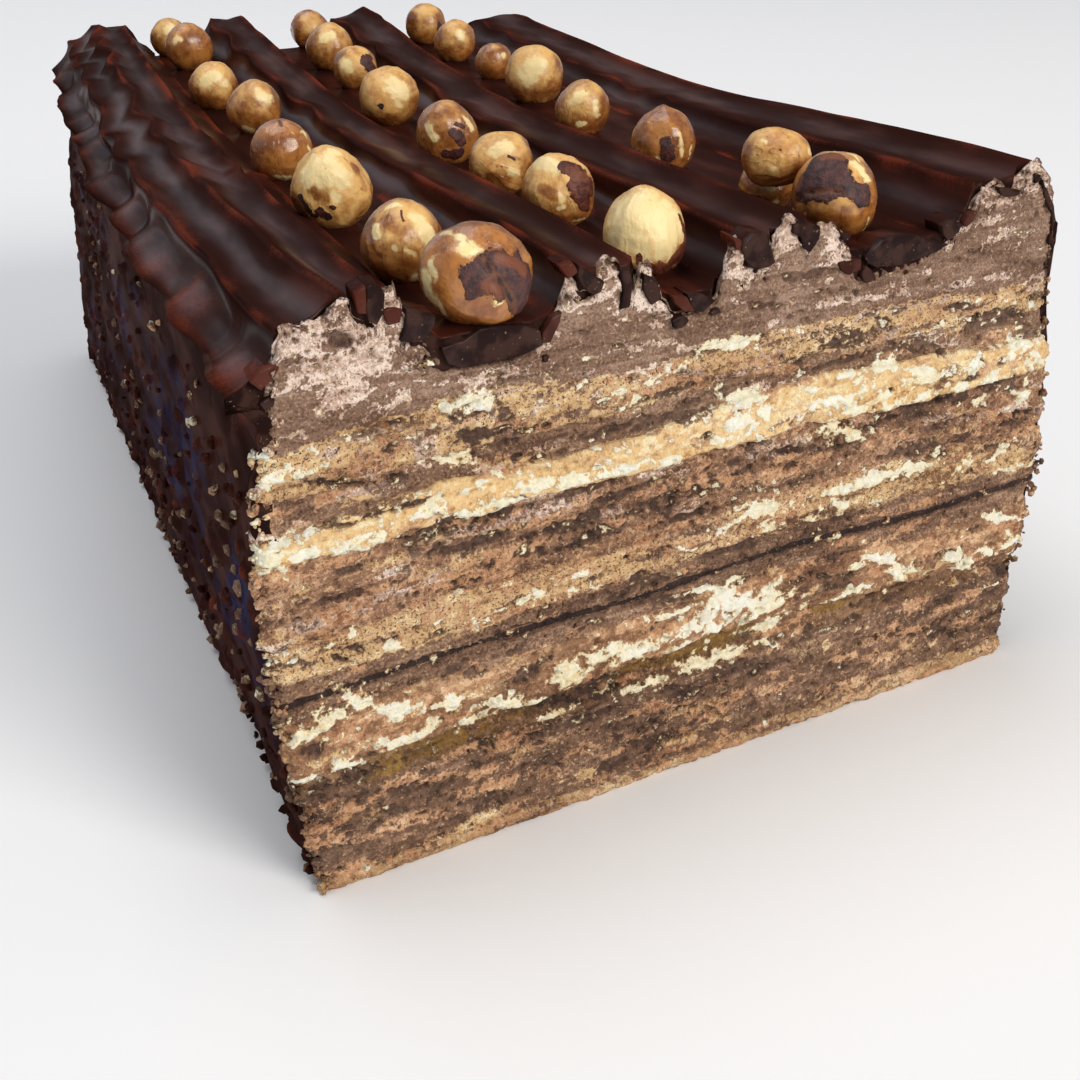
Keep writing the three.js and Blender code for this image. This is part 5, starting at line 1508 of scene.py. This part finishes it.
class CAKE_OT_chips(bpy.types.Operator):
    """Broken ganache that shows in the cut, between the crests of the mousse"""

    bl_idname = "cake.chips"
    bl_label = "Ganache in the cut"

    DEPTH = 4.5  # how far back each piece goes
    BEVEL = 0.22
    SHARP, LONG = 0.6, 0.9  # edges over this angle are rounded, and those over this length divided

    def execute(self, context):
        bm = bmesh.new()
        layer = bm.verts.layers.float.new("crest")
        for red, proud, outline in CHIPS:
            before = set(bm.verts)
            face = bm.faces.new([bm.verts.new((x, 0, z)) for x, z in outline])
            made = bmesh.ops.extrude_face_region(bm, geom=[face])["geom"]
            bmesh.ops.translate(bm, verts=picked(made, bmesh.types.BMVert), vec=(0, 1, 0))
            for vert in (v for v in bm.verts if v not in before):
                x, behind, z = vert.co
                vert.co = (x, CUT_SKEW * x - (0.5 + proud) * (1 - behind) + self.DEPTH * behind, z)
                vert[layer] = red
        sharp = [edge for edge in bm.edges if edge.calc_face_angle(0) > self.SHARP]
        bmesh.ops.bevel(
            bm, geom=sharp, affect="EDGES", offset=self.BEVEL, segments=2, profile=0.5, material=-1,
            clamp_overlap=True,
        )
        bmesh.ops.triangulate(bm, faces=bm.faces)
        long = [edge for edge in bm.edges if edge.calc_length() > self.LONG]
        bmesh.ops.subdivide_edges(bm, edges=long, cuts=1)
        piece = Piece("ganache_chips", bm)
        x, y, z = piece.shares.T
        x = x + 0.16 * layered(x / 1.2, z / 1.2, y / 3, seed=170)
        z = z + 0.16 * layered(x / 1.2, z / 1.2, y / 3 + 9, seed=171)
        y = y + 0.2 * layered(x / 1.6, z / 1.6, seed=172)
        piece.place(np.stack([x, y, z], axis=1))
        piece.numbers({"cut": 0.85 * (y < CUT_SKEW * x + 0.6), "gloss": 0.6, "cool": 0})
        piece.done("ganache")
        return {"FINISHED"}


FULL_TURN = 6.28


class CAKE_OT_crumbs(bpy.types.Operator):
    """Loose crumbs on the cut, along its edges and on the walls"""

    bl_idname = "cake.crumbs"
    bl_label = "Crumbs"

    PER_LAYER = 75
    AT_LEFT_EDGE, AT_RIGHT_EDGE = 0.36, 0.24  # shares of them at the two torn edges of the cut
    # On the walls, sparse on the right: name, slot, layer whose patches they show, how many, and which side
    ON_WALLS = (
        ("left_wall_crumbs", "sponge_brown", "chocolate_seam", 130, -1),
        ("left_wall_pale_crumbs", "sponge_pink", "sponge_lower", 14, -1),
        ("left_wall_dark_crumbs", "ganache", None, 190, -1),
        ("right_wall_crumbs", "sponge_brown", "sponge_lower", 70, 1),
    )

    def scatter(self, name, slot, node, places, sizes, rng):
        """One piece of many small crumbs at those places"""
        bm = bmesh.new()
        for place, size in zip(places, sizes):
            turn = Matrix.Rotation(rng.uniform(0, FULL_TURN), 4, Vector(rng.normal(size=3)).normalized())
            stretch = Matrix.Diagonal((*rng.uniform(0.6, 1.4, 3), 1))
            at = Matrix.Translation(place) @ turn @ Matrix.Scale(size, 4) @ stretch
            bmesh.ops.create_icosphere(bm, subdivisions=1, radius=1, matrix=at)
        piece = Piece(name, bm)
        x, y, z = piece.shares.T
        rough = np.stack([layered(x / 0.9, y / 0.9, z / 0.9, seed=190 + k) for k in range(3)], axis=1)
        points = piece.shares + 0.3 * rough
        points[:, 2] = np.maximum(points[:, 2], 0)
        piece.place(points)
        fields = stuff_fields(x, z, node) if node else {"crest": 0.3, "gloss": 0.3, "cool": 0}
        piece.numbers({**fields, "relief": 0.4, "cut": 0})
        piece.done(slot)

    def execute(self, context):
        rng = np.random.default_rng(context.scene.cake_shape.seed)
        for k, (node, slot, *_) in enumerate(LAYERS):
            if slot == "chocolate_seam":
                continue
            count = self.PER_LAYER
            u = rng.uniform(0, 1, count)
            low, high = layer_top(k, u, 0), layer_top(k + 1, u, 0)
            z = mix(low, high, rng.uniform(0.05, 0.95, count))
            x = mix(left_wall(z, 0), right_wall(z, 0), u)
            left = rng.uniform(0, 1, count) < self.AT_LEFT_EDGE
            right = rng.uniform(0, 1, count) < self.AT_RIGHT_EDGE
            x = np.where(left, left_wall(z, 0) - rng.uniform(-0.5, 1.7, count), x)
            x = np.where(right & ~left, right_wall(z, 0) + rng.uniform(-0.5, 1.6, count), x)
            behind = np.where(left | right, rng.uniform(-0.5, 3, count), -rng.uniform(0.1, 0.5, count))
            places = np.stack([x, CUT_SKEW * x + behind, np.maximum(z, 0.6)], axis=1)
            sizes = np.where(left | right, rng.uniform(0.25, 0.7, count), rng.uniform(0.15, 0.42, count))
            self.scatter(node + "_crumbs", slot, node, places, sizes, rng)
        for name, slot, node, count, side in self.ON_WALLS:
            along = rng.uniform(0, 1, count) ** 1.2
            z = 2 + 66 * rng.uniform(0, 1, count) ** 1.5
            wall = left_wall(z, along) - GLAZE if side < 0 else right_wall(z, along) + GLAZE
            y = mix(CUT_SKEW * wall + 3, 270, along)
            places = np.stack([wall, y, z], axis=1)
            self.scatter(name, slot, node, places, rng.uniform(0.4, 1.2, count), rng)
        return {"FINISHED"}


def seen_from(point):
    """Directions right, up and towards the camera, as seen at a point of the cake"""
    towards = np.array(CAMERA_AT) - np.array(point)
    towards /= np.linalg.norm(towards)
    right = np.cross((0, 0, 1), towards)
    right /= np.linalg.norm(right)
    return np.stack([right, np.cross(towards, right), towards])


def seen_direction(view, right, up):
    """Direction from a kernel's middle to a place on it, given by how far right and up it is seen"""
    towards = math.sqrt(max(0.0, 1 - right * right - up * up))
    direction = np.array([right, up, towards]) @ view
    return direction / np.linalg.norm(direction)


class CAKE_OT_kernels(bpy.types.Operator):
    """Twenty-five whole hazelnuts with their furrows, skin patches and caramel coat"""

    bl_idname = "cake.kernels"
    bl_label = "Hazelnuts"

    NEAR_ALONG = 140  # kernels before this place along the cake have the finer mesh
    NEAR_MESH, FAR_MESH = (112, 76), (48, 34)
    # Heights over the radius
    TIP, FOOT, FURROW, VEIN, LUMPS, FINE_LUMPS = 0.05, 0.06, 0.04, 0.008, 0.05, 0.02
    CREASE, SKIN_EDGE, SKIN_GRAIN = 0.07, 0.018, 0.012
    SUNK = 0.3  # how far a kernel may reach under the ganache of its channel

    def execute(self, context):
        for i, kernel in enumerate(KERNELS):
            self.kernel(i, *kernel)
        return {"FINISHED"}

    def kernel(self, i, across, along, middle, diameter, stretch, tip, coat, ruddy, marks):
        """One kernel: a ball whose radius, size, varies over its directions d"""
        bm = bmesh.new()
        columns, rows = self.NEAR_MESH if along < self.NEAR_ALONG else self.FAR_MESH
        bmesh.ops.create_uvsphere(bm, u_segments=columns, v_segments=rows, radius=1)
        piece = Piece(f"hazelnut_{i + 1:02d}_kernel", bm)
        d = piece.shares / np.linalg.norm(piece.shares, axis=1, keepdims=True)
        dx, dy, dz = d.T
        view = seen_from((across, along, middle))
        axis = seen_direction(view, *tip)
        aside = np.cross(axis, (0.3, 0.2, 0.9) if abs(axis[2]) < 0.8 else (1, 0, 0))
        aside /= np.linalg.norm(aside)
        h = d @ axis
        around = np.arctan2(d @ np.cross(axis, aside), d @ aside)
        size = 1 + (stretch - 1) * h * h + self.TIP * np.exp(-((1 - h) / 0.05))
        size -= self.FOOT * step(-0.75, -0.98, h)
        size -= 0.05 * h * (1 - h * h)
        # Shallow furrows run from the tip to the foot, and fine veins with them
        waist = np.sqrt(np.maximum(0, 1 - h * h))
        cos, sin = np.cos(around), np.sin(around)
        bend = 0.5 * noise(h * 2.2, cos * 1.3, sin * 1.3 + i, seed=131)
        vein = noise(cos * 5 + bend, sin * 5, h * 0.9 + i, seed=150)
        vein = clip01(1 - np.abs(vein) * 4.5) * waist
        furrow = 1 - np.abs(noise(cos * 2.3 + bend, sin * 2.3, h * 0.6 + 3 * i, seed=152))
        size += self.FURROW * waist * (furrow**2 - 0.7) - self.VEIN * vein
        size += self.LUMPS * noise(dx * 1.5 + i, dy * 1.5, dz * 1.5, seed=130)
        size += self.FINE_LUMPS * layered(dx * 4 + i, dy * 4, dz * 4, seed=133)
        # Marks, their edges a little wavy
        rough = 0.12 * layered(dx * 4 + i, dy * 4, dz * 4, seed=140)
        wavy = 0.06 * np.stack([noise(dx * 5, dy * 5, dz * 5 + 7 * k, seed=160) for k in range(3)], axis=1)
        fields = {name: np.zeros(len(d)) for name in ("skin", "pale", "caramel", "crease")}
        for kind, group in marks.items():
            for right, up, to_right, to_up, reach, *height in group:
                start, end = seen_direction(view, right, up), seen_direction(view, to_right, to_up)
                span = end - start
                share = clip01((d - start) @ span / max(span @ span, 1e-6))[:, None]
                apart = np.linalg.norm(d + wavy - start - share * span, axis=1) / (reach * 1.12)
                if kind == "lump":
                    size += height[0] * bell(apart)
                elif kind == "crease":
                    fields[kind] = np.maximum(fields[kind], bell(apart) * min(1.0, 0.3 + 10 * reach))
                else:
                    fields[kind] = np.maximum(fields[kind], 1 / (1 + apart**2))
        size -= self.CREASE * fields["crease"] ** 1.5
        size += self.SKIN_EDGE * step(0.46, 0.54, fields["skin"] + rough)
        grain = layered(dx * 9, dy * 9, dz * 9 + i, seed=165)
        size += self.SKIN_GRAIN * step(0.46, 0.54, fields["skin"]) * grain
        points = d * (size * diameter / 2)[:, None] + (across, along, middle)
        points[:, 2] = np.maximum(points[:, 2], POOL_Z[CHANNEL_OF[i]] - self.SUNK)
        piece.place(points)
        # The coat number rises low down, partly caramel pooling and partly painted shade, and at the sides
        # as seen from the camera, which is painted shade
        low = 0.5 * step(0.2, -0.7, dz) + 0.4 * step(0.4, 0.98, np.abs(d @ view[0]))
        coat = np.maximum(coat + low, 0.75 * step(0.2, 0.75, fields["caramel"]))
        fields["skin"] = fields["skin"] + rough
        fields["pale"] = fields["pale"] + rough
        piece.numbers({**fields, "coat": coat, "vein": vein, "ruddy": ruddy})
        piece.done("hazelnut", f"hazelnut_{i + 1:02d}")


class CAKE_OT_studio(bpy.types.Operator):
    """Pale floor, soft lights and the camera at the photograph's angle"""

    bl_idname = "cake.studio"
    bl_label = "Studio"

    FLOOR_HALF = 6
    MIDDLE = (0, 0, 0.05)
    # Where each light stands, what it aims at, its width in metres and its colour
    LIGHTS = {
        "key": ((1.0, -2.4, 1.5), MIDDLE, 1.6, (1.0, 0.96, 0.9)),
        "back": ((-0.25, 1.6, 0.8), MIDDLE, 0.9, (0.78, 0.86, 1.0)),
        "side": ((-1.3, 0.3, 0.5), MIDDLE, 1.1, (0.6, 0.75, 1.0)),
        "top": ((-0.5, 0.5, 2.6), (-0.2, 0.3, 0), 2.4, (0.98, 0.98, 1.0)),
    }
    ROOM_COLOUR = (0.93, 0.95, 1.0, 1)

    def floor(self, colour):
        bm = bmesh.new()
        bmesh.ops.create_grid(bm, x_segments=1, y_segments=1, size=self.FLOOR_HALF)
        mesh = bpy.data.meshes.new("floor")
        bm.to_mesh(mesh)
        bm.free()
        floor = bpy.data.objects.new("floor", mesh)
        bpy.context.collection.objects.link(floor)
        matt = {"Base Color": tuple(colour) + (1,), "Roughness": 0.9, "Specular IOR Level": 0.2}
        mesh.materials.append(Finish("floor", matt).material)

    def light(self, name, power):
        at, aim, size, colour = self.LIGHTS[name]
        data = bpy.data.lights.new(name, "AREA")
        data.shape, data.size, data.energy, data.color = "DISK", size, power, colour
        light = bpy.data.objects.new(name, data)
        light.location = at
        light.rotation_euler = (Vector(aim) - Vector(at)).to_track_quat("-Z", "Y").to_euler()
        bpy.context.collection.objects.link(light)

    def room(self, scene, brightness):
        world = bpy.data.worlds.new("room")
        world.use_nodes = True
        background = world.node_tree.nodes["Background"]
        background.inputs["Color"].default_value = self.ROOM_COLOUR
        background.inputs["Strength"].default_value = brightness
        scene.world = world
        scene.view_settings.view_transform = "Standard"

    def camera(self, scene):
        data = bpy.data.cameras.new("camera")
        data.lens, data.sensor_width = CAMERA_LENS, CAMERA_SENSOR
        data.clip_start, data.clip_end = 0.01, 30
        camera = bpy.data.objects.new("camera", data)
        bpy.context.collection.objects.link(camera)
        yaw, pitch, roll = CAMERA_YAW, CAMERA_PITCH, CAMERA_ROLL
        level = math.cos(pitch)
        forward = Vector((math.sin(yaw) * level, math.cos(yaw) * level, -math.sin(pitch)))
        right = Vector((math.cos(yaw), -math.sin(yaw), 0))
        up = right.cross(forward)
        cos, sin = math.cos(roll), math.sin(roll)
        right, up = right * cos + up * sin, up * cos - right * sin
        turn = Matrix((right, up, -forward)).transposed().to_4x4()
        camera.matrix_world = Matrix.Translation(Vector(to_part(np.array(CAMERA_AT)))) @ turn
        scene.camera = camera

    def execute(self, context):
        scene = context.scene
        self.floor(scene.cake_colours.floor)
        for name in self.LIGHTS:
            self.light(name, getattr(scene.cake_light, name))
        self.room(scene, scene.cake_light.room)
        self.camera(scene)
        return {"FINISHED"}


class CAKE_PT_sidebar(bpy.types.Panel):
    """The cake's pieces and its sizes"""

    bl_idname = "CAKE_PT_sidebar"
    bl_label = "Chocolate hazelnut cake"
    bl_space_type = "VIEW_3D"
    bl_region_type = "UI"
    bl_category = "Cake"

    def draw(self, context):
        layout = self.layout
        for group in (context.scene.cake_shape, context.scene.cake_colours, context.scene.cake_light):
            box = layout.box()
            for name in group.__annotations__:
                box.prop(group, name)
        for operator in OPERATORS:
            layout.operator(operator.bl_idname)


GROUPS = {"cake_shape": CakeShape, "cake_colours": CakeColours, "cake_light": CakeLight}
OPERATORS = (
    CAKE_OT_studio, CAKE_OT_layers, CAKE_OT_mousse, CAKE_OT_glaze, CAKE_OT_chips, CAKE_OT_crumbs,
    CAKE_OT_kernels,
)


def register():
    for cls in (*GROUPS.values(), *OPERATORS, CAKE_PT_sidebar):
        bpy.utils.register_class(cls)
    for name, group in GROUPS.items():
        setattr(bpy.types.Scene, name, bpy.props.PointerProperty(type=group))


def unregister():
    for name in GROUPS:
        delattr(bpy.types.Scene, name)
    for cls in reversed((*GROUPS.values(), *OPERATORS, CAKE_PT_sidebar)):
        bpy.utils.unregister_class(cls)


def main():
    register()
    for operator in OPERATORS:
        family, name = operator.bl_idname.split(".")
        getattr(getattr(bpy.ops, family), name)()


if __name__ == "__main__":
    main()
